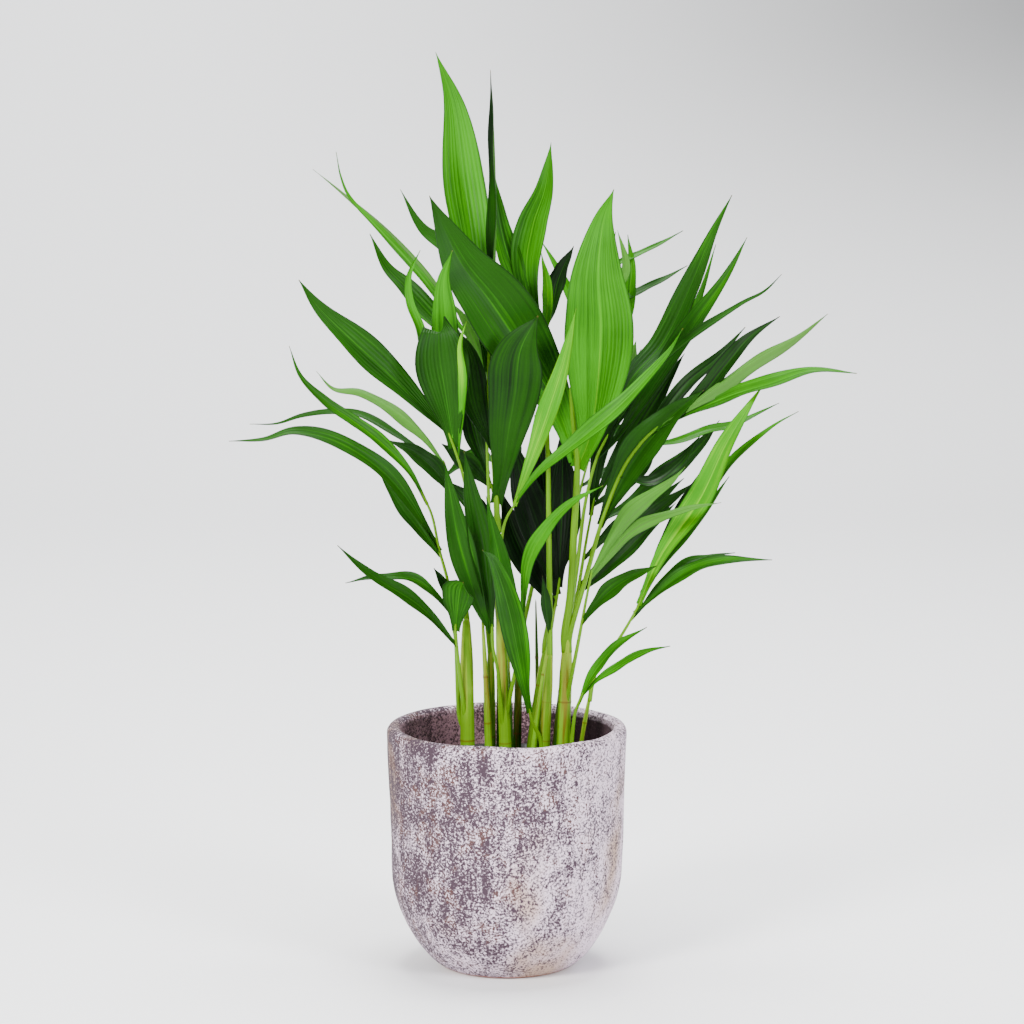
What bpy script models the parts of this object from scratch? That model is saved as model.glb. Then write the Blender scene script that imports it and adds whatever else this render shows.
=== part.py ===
"""Young areca palm in a clay cover pot: pot, nursery pot, soil, canes and fronds.

Everything is in metres with +Z up. The origin is the centre of the pot's flat underside,
and the palm's broad side faces -Y.
"""

import math

import bmesh
import bpy
from mathutils import Matrix, Vector

# ---------------------------------------------------------------- sizes of the cover pot
POT_HEIGHT = 0.194
POT_RIM_RADIUS = 0.095
POT_TAPER = 0.0035
POT_SHOULDER_HEIGHT = 0.072
POT_BASE_RADIUS = 0.050
POT_WALL = 0.0115
POT_FLOOR = 0.012
POT_BELLY_POWER = 1.5
POT_STEPS = 40
POT_SHOULDER_RADIUS = POT_RIM_RADIUS - POT_TAPER

CLEARANCE = 0.0003

# ------------------------------------------------------------- sizes of the nursery pot
# It stands inside the cover pot, so its size follows from that and from these gaps.
GROWER_GAP = 0.0065
GROWER_FOOT_GAP = 0.005
GROWER_BELOW_RIM = 0.0317
GROWER_RIM_RADIUS = POT_RIM_RADIUS - POT_WALL - GROWER_GAP
GROWER_BASE_RADIUS = POT_BASE_RADIUS - GROWER_FOOT_GAP
GROWER_HEIGHT = POT_HEIGHT - GROWER_BELOW_RIM - POT_FLOOR - CLEARANCE
GROWER_WALL = 0.0012
GROWER_LIP = 0.0022
GROWER_LIP_DEPTH = 0.009
DRAIN_RADIUS = 0.006
DRAIN_CIRCLE = 0.030
DRAIN_COUNT = 4
GROWER_STEPS = 32

# ------------------------------------------------------------------- sizes of the soil
SOIL_BELOW_RIM = 0.005
SOIL_EDGE_DROP = 0.003
SOIL_STEPS = 32
ROOT_DEPTH = 0.025

# ------------------------------------------------------------------ sizes of the plant
PLANT_HEIGHT = 0.565
BLADE_THICKNESS = 0.0011
BLADE_FOLD = 0.16
BLADE_ROOT_SHARE = 0.22
STALK_BASE_RADIUS = 0.0018
STALK_END_RADIUS = 0.0009

# The plant is drawn in millimetres. These two heights of the drawing are stretched so that
# the soil and the tallest leaf tip come where the sizes above put them.
DRAWN_SOIL = 159.0
DRAWN_TIP = 724.0

GROWER_FLOOR_Z = POT_FLOOR + CLEARANCE
GROWER_TOP_Z = GROWER_FLOOR_Z + GROWER_HEIGHT
SOIL_TOP_Z = GROWER_TOP_Z - SOIL_BELOW_RIM
PLANT_SCALE = PLANT_HEIGHT / (DRAWN_TIP - DRAWN_SOIL)

# The canes' feet are drawn for soil of this radius, and move inwards in a narrower pot.
DRAWN_SOIL_RADIUS = 0.0736
SOIL_RADIUS = GROWER_RIM_RADIUS - GROWER_LIP - GROWER_WALL
FOOT_SPREAD = min(SOIL_RADIUS / DRAWN_SOIL_RADIUS, 1.0)

# --------------------------------------------------------------------------- the canes
# name: foot (x, y), head (x, y, z), radius at the soil, radius at the head, all in drawn mm
# but the radii, which are true sizes.
CANES = {
    "cane_left": ((-31, -12), (-32, -12, 283), 0.0060, 0.0048),
    "cane_left_inner": ((-13, 10), (-13, 12, 253), 0.0040, 0.0034),
    "cane_centre": ((-1, -4), (-6, -3, 293), 0.0050, 0.0042),
    "cane_slim": ((17, 14), (32, 18, 261), 0.0027, 0.0026),
    "cane_right_inner": ((29, -6), (34, -5, 253), 0.0045, 0.0036),
    "cane_right": ((44, 2), (48, 3, 265), 0.0056, 0.0050),
    "cane_young": ((56, -12), (67, -16, 229), 0.0018, 0.0016),
    "cane_rear": ((8, 26), (10, 28, 256), 0.0034, 0.0030),
    "cane_seedling": ((49, -26), (51, -27, 190), 0.0014, 0.0013),
    "cane_rear_right": ((38, 21), (50, 25, 262), 0.0030, 0.0027),
    "cane_dark": ((3, 11), (0, 15, 250), 0.0026, 0.0023),
    "spear_left": ((-14, -8), (-20, -10, 296), 0.0036, 0.0010),
    "spear_right": ((20, 2), (40, 8, 298), 0.0032, 0.0009),
    "spear_back_right": ((25, 29), (23, 34, 290), 0.0024, 0.0009),
    "spear_back_left": ((-6, 22), (-8, 24, 278), 0.0024, 0.0009),
}

# -------------------------------------------------------------------------- the fronds
# Each frond has the cane it grows from, how it leaves it ("top", degrees round the head; or
# "side", degrees, height), the points of its stalk, and its blades. A blade is (width, tilt
# towards the sky in degrees, where along its length it is widest, points from root to tip).
FRONDS = {
    "frond_tall_left": (
        ("cane_centre", "top", 120),
        [(-8, 2, 368), (-11, 5, 420), (-14, 8, 468), (-13, 10, 502)],
        [
            (34, 12, 0.55, [(-14, 8, 476), (-25, 22, 563), (-34, 36, 621), (-42, 46, 683), (-56, 50, 724)]),
            (22, 74, 0.50, [(-13, 9, 484), (-11, 14, 564), (-11, 12, 644), (-13, 18, 711)]),
            (20, 20, 0.35, [(-14, 9, 480), (-20, 18, 529), (-41, 26, 567), (-66, 32, 586), (-84, 38, 617)]),
            (24, 10, 0.50, [(-11, 5, 415), (-25, 6, 452), (-31, 8, 492), (-41, 12, 509)]),
            (43, 12, 0.70, [(-8, 2, 372), (-3, -10, 404), (1, -18, 434), (6, -26, 464), (10, -32, 497), (24, -34, 524)]),
        ],
    ),
    "frond_tall_right": (
        ("cane_right_inner", "top", 90),
        [(33, 4, 353), (32, 12, 419), (28, 20, 497), (26, 22, 520)],
        [
            (19, 15, 0.45, [(26, 22, 516), (12, 30, 539), (0, 42, 569), (-7, 52, 599), (-10, 60, 629)]),
            (26, 15, 0.45, [(26, 21, 508), (15, 34, 552), (20, 48, 588), (30, 60, 617), (35, 70, 652)]),
            (19, 35, 0.50, [(28, 20, 504), (35, 32, 526), (40, 44, 546), (53, 56, 571)]),
            (9, 20, 0.50, [(29, 19, 494), (32, 16, 537), (27, 12, 569)]),
            (9, 20, 0.50, [(34, -3, 268), (31, -12, 292), (28, -16, 317)]),
        ],
    ),
    "frond_broad_centre": (
        ("cane_right", "top", 205),
        [(50, -4, 300), (53, -8, 356), (55, -12, 404), (52, -14, 440), (50, -15, 468)],
        [
            (54, 10, 0.52, [(54, -12, 408), (42, -10, 444), (26, -8, 476), (6, -8, 507), (-13, -12, 535),
                            (-33, -14, 561), (-49, -12, 591), (-60, -8, 615)]),
            (54, 8, 0.48, [(55, -12, 402), (65, -19, 431), (70, -24, 471), (72, -26, 515), (70, -24, 555),
                           (74, -18, 594), (83, -8, 620)]),
        ],
    ),
    "frond_left_front": (
        ("cane_left_inner", "top", 225),
        [(-22, -4, 330), (-29, -14, 372), (-35, -20, 400), (-41, -26, 420), (-47, -30, 436), (-52, -32, 448)],
        [
            (26, 22, 0.50, [(-46, -29, 434), (-62, -34, 450), (-92, -42, 482), (-119, -50, 508), (-145, -56, 534),
                            (-159, -58, 554)]),
            (42, 8, 0.60, [(-41, -26, 420), (-46, -38, 458), (-51, -46, 492), (-52, -44, 512), (-51, -37, 511),
                           (-49, -34, 496)]),
            (21, 10, 0.55, [(-44, -28, 428), (-46, -23, 470), (-48, -23, 519), (-49, -26, 550), (-42, -28, 574)]),
            (8, 25, 0.60, [(-48, -30, 440), (-62, -25, 480), (-67, -20, 511), (-75, -18, 533), (-76, -16, 553),
                           (-67, -14, 573)]),
            (7, 20, 0.60, [(-38, -23, 410), (-34, -42, 470), (-36, -49, 502), (-31, -48, 521)]),
        ],
    ),
    "frond_left_back": (
        ("cane_left_inner", "top", 45),
        [(-14, 30, 350), (-16, 44, 420), (-17, 54, 475), (-20, 58, 490)],
        [
            (10, 35, 0.40, [(-18, 55, 482), (-41, 70, 511), (-70, 86, 552), (-100, 100, 581), (-130, 112, 607),
                           (-157, 120, 628)]),
            (8, 35, 0.40, [(-19, 57, 487), (-44, 66, 514), (-72, 80, 549), (-98, 90, 577), (-124, 98, 604),
                           (-133, 100, 622), (-137, 100, 643)]),
            (18, 20, 0.45, [(-17, 54, 474), (-56, 66, 511), (-80, 76, 536), (-97, 84, 553), (-110, 90, 578)]),
            (13, 20, 0.45, [(-16, 50, 458), (-20, 42, 481), (-32, 36, 512), (-45, 34, 529)]),
        ],
    ),
    "frond_left_low": (
        ("cane_left", "side", 180, 205),
        [(-40, -14, 261), (-42, -16, 278), (-46, -20, 312), (-53, -24, 340), (-59, -28, 369), (-72, -32, 396)],
        [
            (11, 30, 0.45, [(-62, -29, 376), (-76, -36, 404), (-97, -42, 427), (-119, -48, 445), (-140, -52, 460),
                           (-158, -55, 479), (-167, -55, 503)]),
            (18, 40, 0.40, [(-52, -23, 338), (-76, -40, 381), (-100, -52, 410), (-131, -64, 431), (-162, -74, 439),
                            (-186, -80, 434), (-212, -84, 433)]),
            (12, 25, 0.45, [(-52, -23, 334), (-68, -20, 355), (-84, -16, 375), (-101, -10, 401)]),
        ],
    ),
    "frond_left_mid": (
        ("cane_left", "top", 90),
        [(-37, -2, 330), (-43, 4, 372), (-50, 10, 406)],
        [
            (12, 35, 0.40, [(-49, 9, 402), (-68, 16, 426), (-92, 24, 445), (-115, 30, 457), (-137, 35, 459),
                           (-151, 37, 473)]),
            (7, 30, 0.40, [(-48, 8, 399), (-84, 26, 422), (-115, 38, 438), (-139, 46, 440), (-163, 52, 436),
                           (-184, 56, 429), (-206, 60, 428)]),
            (17, 25, 0.45, [(-44, 5, 378), (-52, -2, 395), (-71, -6, 413), (-93, -8, 424)]),
        ],
    ),
    "frond_left_basal": (
        ("cane_left", "side", 240, 214),
        [(-38, -22, 248), (-40, -25, 272), (-41, -26, 298)],
        [
            (13, 35, 0.45, [(-39, -24, 263), (-68, -38, 298), (-96, -54, 319), (-115, -66, 335), (-130, -74, 351)]),
            (11, 45, 0.45, [(-40, -25, 285), (-68, -34, 316), (-100, -48, 322), (-125, -58, 319)]),
            (9, 20, 0.45, [(-41, -26, 294), (-48, -24, 310), (-57, -24, 325)]),
            (27, 10, 0.78, [(-40, -25, 275), (-39, -32, 294), (-37, -40, 311), (-34, -46, 317)]),
        ],
    ),
    "frond_front_left": (
        ("cane_centre", "side", 250, 206),
        [(-7, -16, 240), (-11, -19, 262), (-12, -20, 282)],
        [
            (21, 10, 0.50, [(-12, -19, 273), (-22, -30, 297), (-37, -42, 350), (-48, -49, 412)]),
            (21, 15, 0.50, [(-12, -20, 277), (-14, -28, 299), (-20, -36, 345), (-28, -42, 388), (-33, -46, 420)]),
        ],
    ),
    "frond_front_spear": (
        ("cane_right_inner", "side", 225, 182),
        [(20, -14, 200), (17, -17, 214)],
        [
            (21, 12, 0.45, [(18, -16, 208), (14, -28, 231), (3, -60, 294), (-9, -94, 339), (-18, -124, 355)]),
        ],
    ),
    "frond_front_ribbon": (
        ("cane_centre", "side", 330, 214),
        [(8, -14, 250), (13, -20, 288)],
        [
            (12, 20, 0.45, [(12, -19, 283), (16, -38, 330), (30, -58, 361), (50, -78, 385), (73, -94, 400)]),
            (16, 15, 0.50, [(9, -15, 258), (3, -33, 294), (-6, -47, 338), (-16, -52, 386)]),
        ],
    ),
    "frond_front_forked": (
        ("cane_centre", "top", 270),
        [(-6, -22, 328), (-2, -34, 361), (6, -42, 378), (9, -44, 386)],
        [
            (16, 15, 0.50, [(6, -42, 377), (26, -54, 436), (43, -60, 489), (53, -60, 532)]),
            (14, 25, 0.50, [(7, -43, 381), (26, -56, 407), (57, -68, 434), (89, -76, 463), (120, -80, 497),
                            (134, -80, 519)]),
        ],
    ),
    "frond_shaded_heart": (
        ("cane_slim", "top", 315),
        [(39, 19, 290), (42, 22, 310)],
        [
            (30, 15, 0.50, [(40, 20, 296), (28, 25, 337), (14, 30, 380), (4, 34, 422)]),
            (28, 10, 0.50, [(41, 21, 302), (43, 28, 350), (44, 33, 400), (43, 37, 426)]),
            (24, 10, 0.50, [(38, 19, 286), (20, 30, 314), (5, 40, 344), (-4, 44, 376)]),
            (13, 20, 0.50, [(42, 23, 310), (50, 34, 336), (54, 43, 368), (53, 45, 392)]),
            (28, 10, 0.50, [(41, 22, 308), (34, 40, 350), (28, 50, 396), (22, 56, 436)]),
        ],
    ),
    "frond_right_high": (
        ("cane_right", "top", 85),
        [(56, 18, 322), (62, 26, 368), (71, 34, 403), (82, 42, 424)],
        [
            (21, 25, 0.50, [(74, 36, 408), (97, 54, 462), (124, 72, 492), (144, 86, 530), (163, 98, 573),
                            (181, 106, 608)]),
            (9, 25, 0.50, [(79, 40, 418), (110, 60, 458), (138, 72, 494), (155, 78, 531), (167, 82, 570)]),
            (18, 30, 0.50, [(72, 34, 404), (90, 40, 423), (120, 48, 468), (151, 58, 514), (175, 64, 547),
                            (191, 66, 577)]),
            (8, 35, 0.50, [(82, 42, 423), (115, 42, 472), (148, 42, 502), (183, 42, 525), (203, 40, 536),
                           (217, 38, 550)]),
        ],
    ),
    "frond_right_fan": (
        ("cane_right", "top", 330),
        [(61, -6, 310), (74, -16, 359), (89, -24, 400), (104, -30, 424), (120, -35, 440)],
        [
            (12, 20, 0.50, [(98, -28, 416), (120, -26, 446), (140, -25, 471), (163, -23, 490), (185, -20, 514)]),
            (15, 25, 0.50, [(112, -33, 432), (144, -44, 458), (167, -52, 487), (185, -56, 509), (209, -58, 526)]),
            (14, 35, 0.50, [(119, -35, 439), (152, -52, 462), (187, -66, 489), (222, -76, 512), (244, -80, 530)]),
            (16, 40, 0.45, [(117, -34, 437), (167, -64, 465), (199, -86, 478), (230, -98, 489), (264, -110, 488)]),
            (8, 30, 0.45, [(102, -29, 422), (130, -18, 424), (156, -10, 432), (179, 0, 436), (214, 10, 451)]),
            (12, 25, 0.45, [(88, -24, 398), (112, -16, 393), (134, -8, 406), (152, -2, 427)]),
            (30, 25, 0.50, [(73, -15, 357), (88, -25, 392), (104, -33, 420), (126, -40, 446), (152, -48, 468)]),
            (18, 25, 0.50, [(75, -16, 362), (100, 2, 374), (128, 12, 396), (152, 18, 416), (168, 22, 436)]),
        ],
    ),
    "frond_right_young": (
        ("cane_young", "top", 0),
        [(74, -20, 252), (87, -28, 268), (103, -36, 298), (105, -37, 308)],
        [
            (20, 20, 0.50, [(103, -36, 298), (120, -48, 340), (148, -62, 385), (167, -68, 427), (183, -70, 455),
                            (197, -70, 476)]),
            (9, 30, 0.50, [(102, -35, 296), (128, -39, 345), (155, -44, 387), (175, -50, 415), (203, -56, 440),
                           (224, -60, 453)]),
            (9, 25, 0.50, [(104, -36, 304), (127, -32, 338), (150, -30, 366), (173, -28, 398)]),
            (12, 35, 0.45, [(99, -34, 291), (136, -56, 326), (167, -72, 339), (203, -88, 342)]),
            (8, 35, 0.45, [(96, -32, 284), (134, -27, 326), (158, -22, 334), (179, -16, 336)]),
            (16, 20, 0.50, [(105, -37, 307), (124, -43, 346), (144, -48, 386), (163, -52, 424)]),
        ],
    ),
    "frond_right_pale": (
        ("cane_right", "side", 300, 222),
        [(56, -13, 263), (63, -22, 304), (67, -26, 325)],
        [
            (16, 30, 0.50, [(66, -25, 321), (93, -50, 371), (124, -74, 399), (136, -84, 413)]),
            (12, 35, 0.45, [(65, -24, 316), (97, -54, 360), (136, -82, 380), (163, -100, 388)]),
            (15, 30, 0.50, [(59, -17, 280), (70, -30, 298), (88, -46, 317), (116, -66, 334)]),
        ],
    ),
    "frond_shaded_right": (
        ("cane_rear_right", "top", 60),
        [(57, 30, 300), (64, 42, 340), (70, 50, 370)],
        [
            (19, 20, 0.50, [(70, 50, 368), (90, 58, 402), (114, 64, 440), (142, 68, 484)]),
            (17, 20, 0.50, [(67, 47, 356), (74, 60, 404), (88, 72, 446), (108, 84, 486)]),
            (16, 25, 0.50, [(69, 49, 364), (92, 52, 378), (110, 56, 400), (120, 60, 434)]),
            (15, 25, 0.50, [(56, 29, 295), (78, 22, 316), (104, 20, 342), (134, 22, 370)]),
            (16, 25, 0.50, [(57, 30, 300), (84, 36, 328), (116, 40, 358), (150, 42, 384)]),
            (14, 30, 0.50, [(61, 36, 322), (82, 46, 342), (112, 56, 360), (142, 62, 384)]),
        ],
    ),
    "frond_shaded_left": (
        ("cane_dark", "top", 60),
        [(3, 27, 300), (-5, 42, 350), (-16, 54, 392)],
        [
            (18, 15, 0.50, [(-15, 53, 388), (-26, 58, 420), (-34, 60, 460)]),
            (18, 15, 0.50, [(-9, 46, 366), (-4, 56, 404), (-1, 60, 446), (-2, 62, 478)]),
            (16, 20, 0.50, [(-4, 40, 344), (-24, 44, 362), (-46, 42, 384)]),
            (17, 15, 0.50, [(-12, 50, 378), (-30, 50, 396), (-52, 46, 414)]),
        ],
    ),
    "frond_seedling": (
        ("cane_seedling", "top", 0),
        [(54, -29, 212), (60, -33, 228)],
        [
            (9, 30, 0.50, [(54, -29, 212), (66, -38, 242), (85, -54, 269), (108, -68, 286)]),
            (8, 35, 0.50, [(59, -32, 225), (73, -41, 241), (104, -60, 264), (126, -72, 272)]),
        ],
    ),
    "frond_back_right": (
        ("cane_rear", "top", 30),
        [(30, 54, 340), (48, 80, 410), (62, 100, 470), (74, 112, 524), (78, 116, 540)],
        [
            (8, 15, 0.50, [(72, 110, 514), (80, 118, 545), (88, 124, 577)]),
            (11, 20, 0.55, [(66, 104, 486), (93, 120, 497), (101, 128, 544), (98, 132, 574)]),
            (6, 35, 0.45, [(76, 114, 532), (90, 124, 551), (120, 140, 564), (144, 152, 576)]),
            (8, 35, 0.45, [(71, 109, 508), (92, 120, 522), (123, 140, 535), (148, 156, 547)]),
            (8, 20, 0.50, [(65, 103, 484), (52, 112, 524), (40, 122, 549), (28, 130, 569)]),
            (8, 15, 0.50, [(70, 108, 506), (86, 104, 530), (96, 102, 550), (89, 102, 580)]),
            (17, 15, 0.60, [(55, 90, 440), (76, 88, 446), (94, 86, 460), (104, 88, 492)]),
        ],
    ),
    "frond_back_left": (
        ("cane_rear", "top", 210),
        [(0, 62, 330), (-8, 100, 390), (-12, 130, 424)],
        [
            (14, 40, 0.45, [(-11, 120, 413), (-30, 140, 436), (-60, 166, 446)]),
            (15, 40, 0.45, [(-12, 128, 422), (-20, 160, 448), (-30, 192, 452)]),
            (14, 40, 0.45, [(-12, 124, 418), (0, 156, 440), (12, 186, 444)]),
            (14, 40, 0.45, [(-8, 100, 390), (-26, 120, 396), (-54, 146, 372)]),
            (14, 40, 0.45, [(-9, 106, 396), (4, 140, 404), (12, 172, 376)]),
        ],
    ),
    "frond_back_low": (
        ("cane_slim", "top", 135),
        [(46, 52, 326), (60, 86, 374), (68, 110, 398)],
        [
            (14, 40, 0.45, [(67, 106, 394), (92, 134, 412), (124, 166, 400)]),
            (15, 40, 0.45, [(68, 109, 397), (78, 148, 424), (90, 186, 424)]),
            (14, 40, 0.45, [(66, 104, 392), (62, 140, 420), (58, 178, 426)]),
            (14, 40, 0.45, [(60, 86, 374), (90, 106, 384), (130, 136, 362)]),
            (14, 40, 0.45, [(58, 82, 368), (50, 116, 374), (44, 154, 340)]),
        ],
    ),
}
# Stalks that are stouter than the rest: radius low down, radius at the tip.
STOUT_STALKS = {
    "frond_tall_left": (0.0029, 0.0017),
    "frond_tall_right": (0.0025, 0.0014),
    "frond_broad_centre": (0.0034, 0.0020),
    "frond_right_fan": (0.0023, 0.0011),
    "frond_right_high": (0.0021, 0.0010),
}

DARK_FRONDS = (
    "frond_shaded_heart",
    "frond_shaded_right",
    "frond_shaded_left",
    "frond_back_left",
    "frond_back_low",
    "frond_left_front",
)
BRIGHT_FRONDS = ("frond_right_young", "frond_broad_centre", "frond_front_ribbon", "frond_seedling")
PALE_FRONDS = ("frond_right_pale", "frond_front_forked")

# ------------------------------------------------------------------------- the colours
CLAY_WASH = (0.52, 0.48, 0.50)
BLACK_PLASTIC = (0.015, 0.015, 0.016)
DARK_SOIL = (0.035, 0.022, 0.014)
CANE_GREEN = (0.30, 0.38, 0.05)
LEAF_GREEN = (0.045, 0.165, 0.018)
LEAF_DARK = (0.018, 0.080, 0.014)
LEAF_BRIGHT = (0.120, 0.300, 0.020)
LEAF_PALE = (0.150, 0.270, 0.080)


def clear_scene():
    for obj in list(bpy.data.objects):
        bpy.data.objects.remove(obj, do_unlink=True)


def new_collection(name):
    collection = bpy.data.collections.new(name)
    bpy.context.scene.collection.children.link(collection)
    return collection


def material(name, colour, roughness):
    made = bpy.data.materials.new(name)
    made.use_nodes = True
    shader = made.node_tree.nodes["Principled BSDF"]
    shader.inputs["Base Color"].default_value = (*colour, 1.0)
    shader.inputs["Roughness"].default_value = roughness
    shader.inputs["Metallic"].default_value = 0.0
    return made


def mesh_object(name, mesh, collection):
    obj = bpy.data.objects.new(name, mesh)
    collection.objects.link(obj)
    return obj


def evaluated_mesh(obj):
    """The object's mesh with its modifiers applied, as a new mesh."""
    bpy.context.view_layer.update()
    graph = bpy.context.evaluated_depsgraph_get()
    return bpy.data.meshes.new_from_object(obj.evaluated_get(graph), depsgraph=graph)


def clean(mesh):
    """Caps welded to their sides, no slivers, all faces outwards."""
    bm = bmesh.new()
    bm.from_mesh(mesh)
    bmesh.ops.remove_doubles(bm, verts=bm.verts, dist=0.000002)
    bmesh.ops.dissolve_degenerate(bm, edges=bm.edges, dist=0.000002)
    bmesh.ops.recalc_face_normals(bm, faces=bm.faces)
    bm.to_mesh(mesh)
    bm.free()
    return mesh


def replace_with(obj, mesh):
    """Gives the object a finished mesh and drops its modifiers."""
    obj.modifiers.clear()
    obj.data = clean(mesh)


# --------------------------------------------------------------------------- the holder
def turned(name, profile, steps, collection):
    """A closed body turned about Z from points that start and end on the axis."""
    mesh = bpy.data.meshes.new(name)
    edges = [(i, i + 1) for i in range(len(profile) - 1)]
    mesh.from_pydata([(r, 0.0, z) for r, z in profile], edges, [])
    obj = mesh_object(name, mesh, collection)
    screw = obj.modifiers.new("Screw", "SCREW")
    screw.steps = steps
    screw.render_steps = steps
    screw.use_merge_vertices = True
    screw.merge_threshold = 0.00001
    screw.use_smooth_shade = False
    replace_with(obj, evaluated_mesh(obj))
    return obj


def belly(base_radius, shoulder_radius, foot_z, shoulder_z, count):
    """Points up the rounded foot of the pot, from its flat to its shoulder."""
    points = []
    for i in range(count + 1):
        angle = math.pi / 2 * i / count
        across = math.sin(angle) ** (2 / POT_BELLY_POWER)
        down = math.cos(angle) ** (2 / POT_BELLY_POWER)
        r = base_radius + (shoulder_radius - base_radius) * across
        z = shoulder_z - (shoulder_z - foot_z) * down
        points.append((r, z))
    return points


def make_pot(collection):
    outer = belly(POT_BASE_RADIUS, POT_SHOULDER_RADIUS, 0.0, POT_SHOULDER_HEIGHT, 7)
    inner = belly(
        POT_BASE_RADIUS - POT_WALL * 0.3,
        POT_SHOULDER_RADIUS - POT_WALL,
        POT_FLOOR,
        POT_SHOULDER_HEIGHT,
        5,
    )
    half = POT_WALL / 2
    rim = []
    for i in range(7):
        angle = math.pi * i / 6
        rim.append(
            (POT_RIM_RADIUS - half + half * math.cos(angle), POT_HEIGHT - half + half * math.sin(angle))
        )
    profile = [(0.0, 0.0)] + outer + rim + inner[::-1] + [(0.0, POT_FLOOR)]
    profile.reverse()
    pot = turned("pot", profile, POT_STEPS, collection)
    pot.data.materials.append(material("pot_clay", CLAY_WASH, 0.9))
    return pot


def grower_radius(z):
    """Outside radius of the nursery pot's wall at a height above the ground."""
    share = (z - GROWER_FLOOR_Z) / GROWER_HEIGHT
    return GROWER_BASE_RADIUS + (GROWER_RIM_RADIUS - GROWER_LIP - GROWER_BASE_RADIUS) * share


def make_grower_pot(collection, cutters):
    top = GROWER_TOP_Z
    lip = top - GROWER_LIP_DEPTH
    profile = [
        (0.0, GROWER_FLOOR_Z),
        (GROWER_BASE_RADIUS, GROWER_FLOOR_Z),
        (grower_radius(lip), lip),
        (grower_radius(lip) + GROWER_LIP, lip),
        (GROWER_RIM_RADIUS, top),
        (GROWER_RIM_RADIUS - GROWER_LIP - GROWER_WALL, top),
        (GROWER_BASE_RADIUS - GROWER_WALL, GROWER_FLOOR_Z + GROWER_WALL),
        (0.0, GROWER_FLOOR_Z + GROWER_WALL),
    ]
    profile.reverse()
    pot = turned("grower_pot", profile, GROWER_STEPS, collection)
    for i in range(DRAIN_COUNT):
        angle = 2 * math.pi * (i + 0.5) / DRAIN_COUNT
        place_at = (DRAIN_CIRCLE * math.cos(angle), DRAIN_CIRCLE * math.sin(angle), GROWER_FLOOR_Z)
        cutter = cylinder(f"drain_cutter_{i}", DRAIN_RADIUS, GROWER_WALL * 6, place_at, 12, cutters)
        boolean(pot, cutter, "DIFFERENCE")
    replace_with(pot, evaluated_mesh(pot))
    pot.data.materials.append(material("grower_pot_plastic", BLACK_PLASTIC, 0.45))
    return pot


def cylinder(name, radius, height, centre, sides, collection):
    """An upright cylinder whose flats lie at the radius, so that it clears a round of that size."""
    bm = bmesh.new()
    outside = radius / math.cos(math.pi / sides)
    bmesh.ops.create_cone(
        bm,
        cap_ends=True,
        segments=sides,
        radius1=outside,
        radius2=outside,
        depth=height,
        matrix=Matrix.Translation(centre),
    )
    mesh = bpy.data.meshes.new(name)
    bm.to_mesh(mesh)
    bm.free()
    obj = mesh_object(name, mesh, collection)
    obj.hide_render = True
    obj.display_type = "WIRE"
    return obj


def boolean(obj, other, operation):
    modifier = obj.modifiers.new(other.name, "BOOLEAN")
    modifier.operation = operation
    modifier.solver = "EXACT"
    modifier.object = other
    return modifier


def make_soil(collection, cutters):
    bottom = GROWER_FLOOR_Z + GROWER_WALL + CLEARANCE
    edge_z = SOIL_TOP_Z - SOIL_EDGE_DROP

    def inside(z):
        return grower_radius(z) - GROWER_WALL - CLEARANCE * 1.5

    profile = [
        (0.0, bottom),
        (inside(bottom), bottom),
        (inside(edge_z), edge_z),
        (inside(edge_z) * 0.7, SOIL_TOP_Z),
        (0.0, SOIL_TOP_Z),
    ]
    profile.reverse()
    soil = turned("potting_soil", profile, SOIL_STEPS, collection)
    for name, (foot, _head, radius, _end) in CANES.items():
        hole_foot = SOIL_TOP_Z - ROOT_DEPTH - CLEARANCE
        height = ROOT_DEPTH * 2
        centre = (
            foot[0] * PLANT_SCALE * FOOT_SPREAD,
            foot[1] * PLANT_SCALE * FOOT_SPREAD,
            hole_foot + height / 2,
        )
        cutter = cylinder(f"{name}_socket", radius + CLEARANCE, height, centre, 12, cutters)
        boolean(soil, cutter, "DIFFERENCE")
    replace_with(soil, evaluated_mesh(soil))
    soil.data.materials.append(material("soil_peat", DARK_SOIL, 0.95))
    return soil


# ---------------------------------------------------------------------------- the plant
def placed(point):
    """A drawn point in millimetres, at the plant's own size and measured up from the soil."""
    x, y, z = point
    return Vector((x * PLANT_SCALE, y * PLANT_SCALE, (z - DRAWN_SOIL) * PLANT_SCALE))


def stand_in_soil(obj):
    """Lifts a finished cane or frond, made with the soil at zero, to its height in the pot."""
    obj.data.transform(Matrix.Translation((0.0, 0.0, SOIL_TOP_Z)))


def spline_point(points, t):
    """A smooth curve through the points, with t from 0 to 1."""
    last = len(points) - 1
    at = min(max(t, 0.0), 1.0) * last
    i = min(int(at), last - 1)
    u = at - i
    p1 = points[i]
    p2 = points[i + 1]
    p0 = points[i - 1] if i > 0 else p1 * 2 - p2
    p3 = points[i + 2] if i + 2 <= last else p2 * 2 - p1
    a = p1 * 2
    b = p2 - p0
    c = p0 * 2 - p1 * 5 + p2 * 4 - p3
    d = p1 * 3 - p0 - p2 * 3 + p3
    return (a + b * u + c * u * u + d * u * u * u) * 0.5


def even_points(points, count):
    """Points at even distances along the smooth curve."""
    fine = [spline_point(points, i / 120) for i in range(121)]
    run = [0.0]
    for a, b in zip(fine, fine[1:]):
        run.append(run[-1] + (b - a).length)
    out = []
    j = 0
    for i in range(count + 1):
        want = run[-1] * i / count
        while j < 119 and run[j + 1] < want:
            j += 1
        share = (want - run[j]) / max(run[j + 1] - run[j], 1e-9)
        out.append(fine[j].lerp(fine[j + 1], min(max(share, 0.0), 1.0)))
    return out


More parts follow.
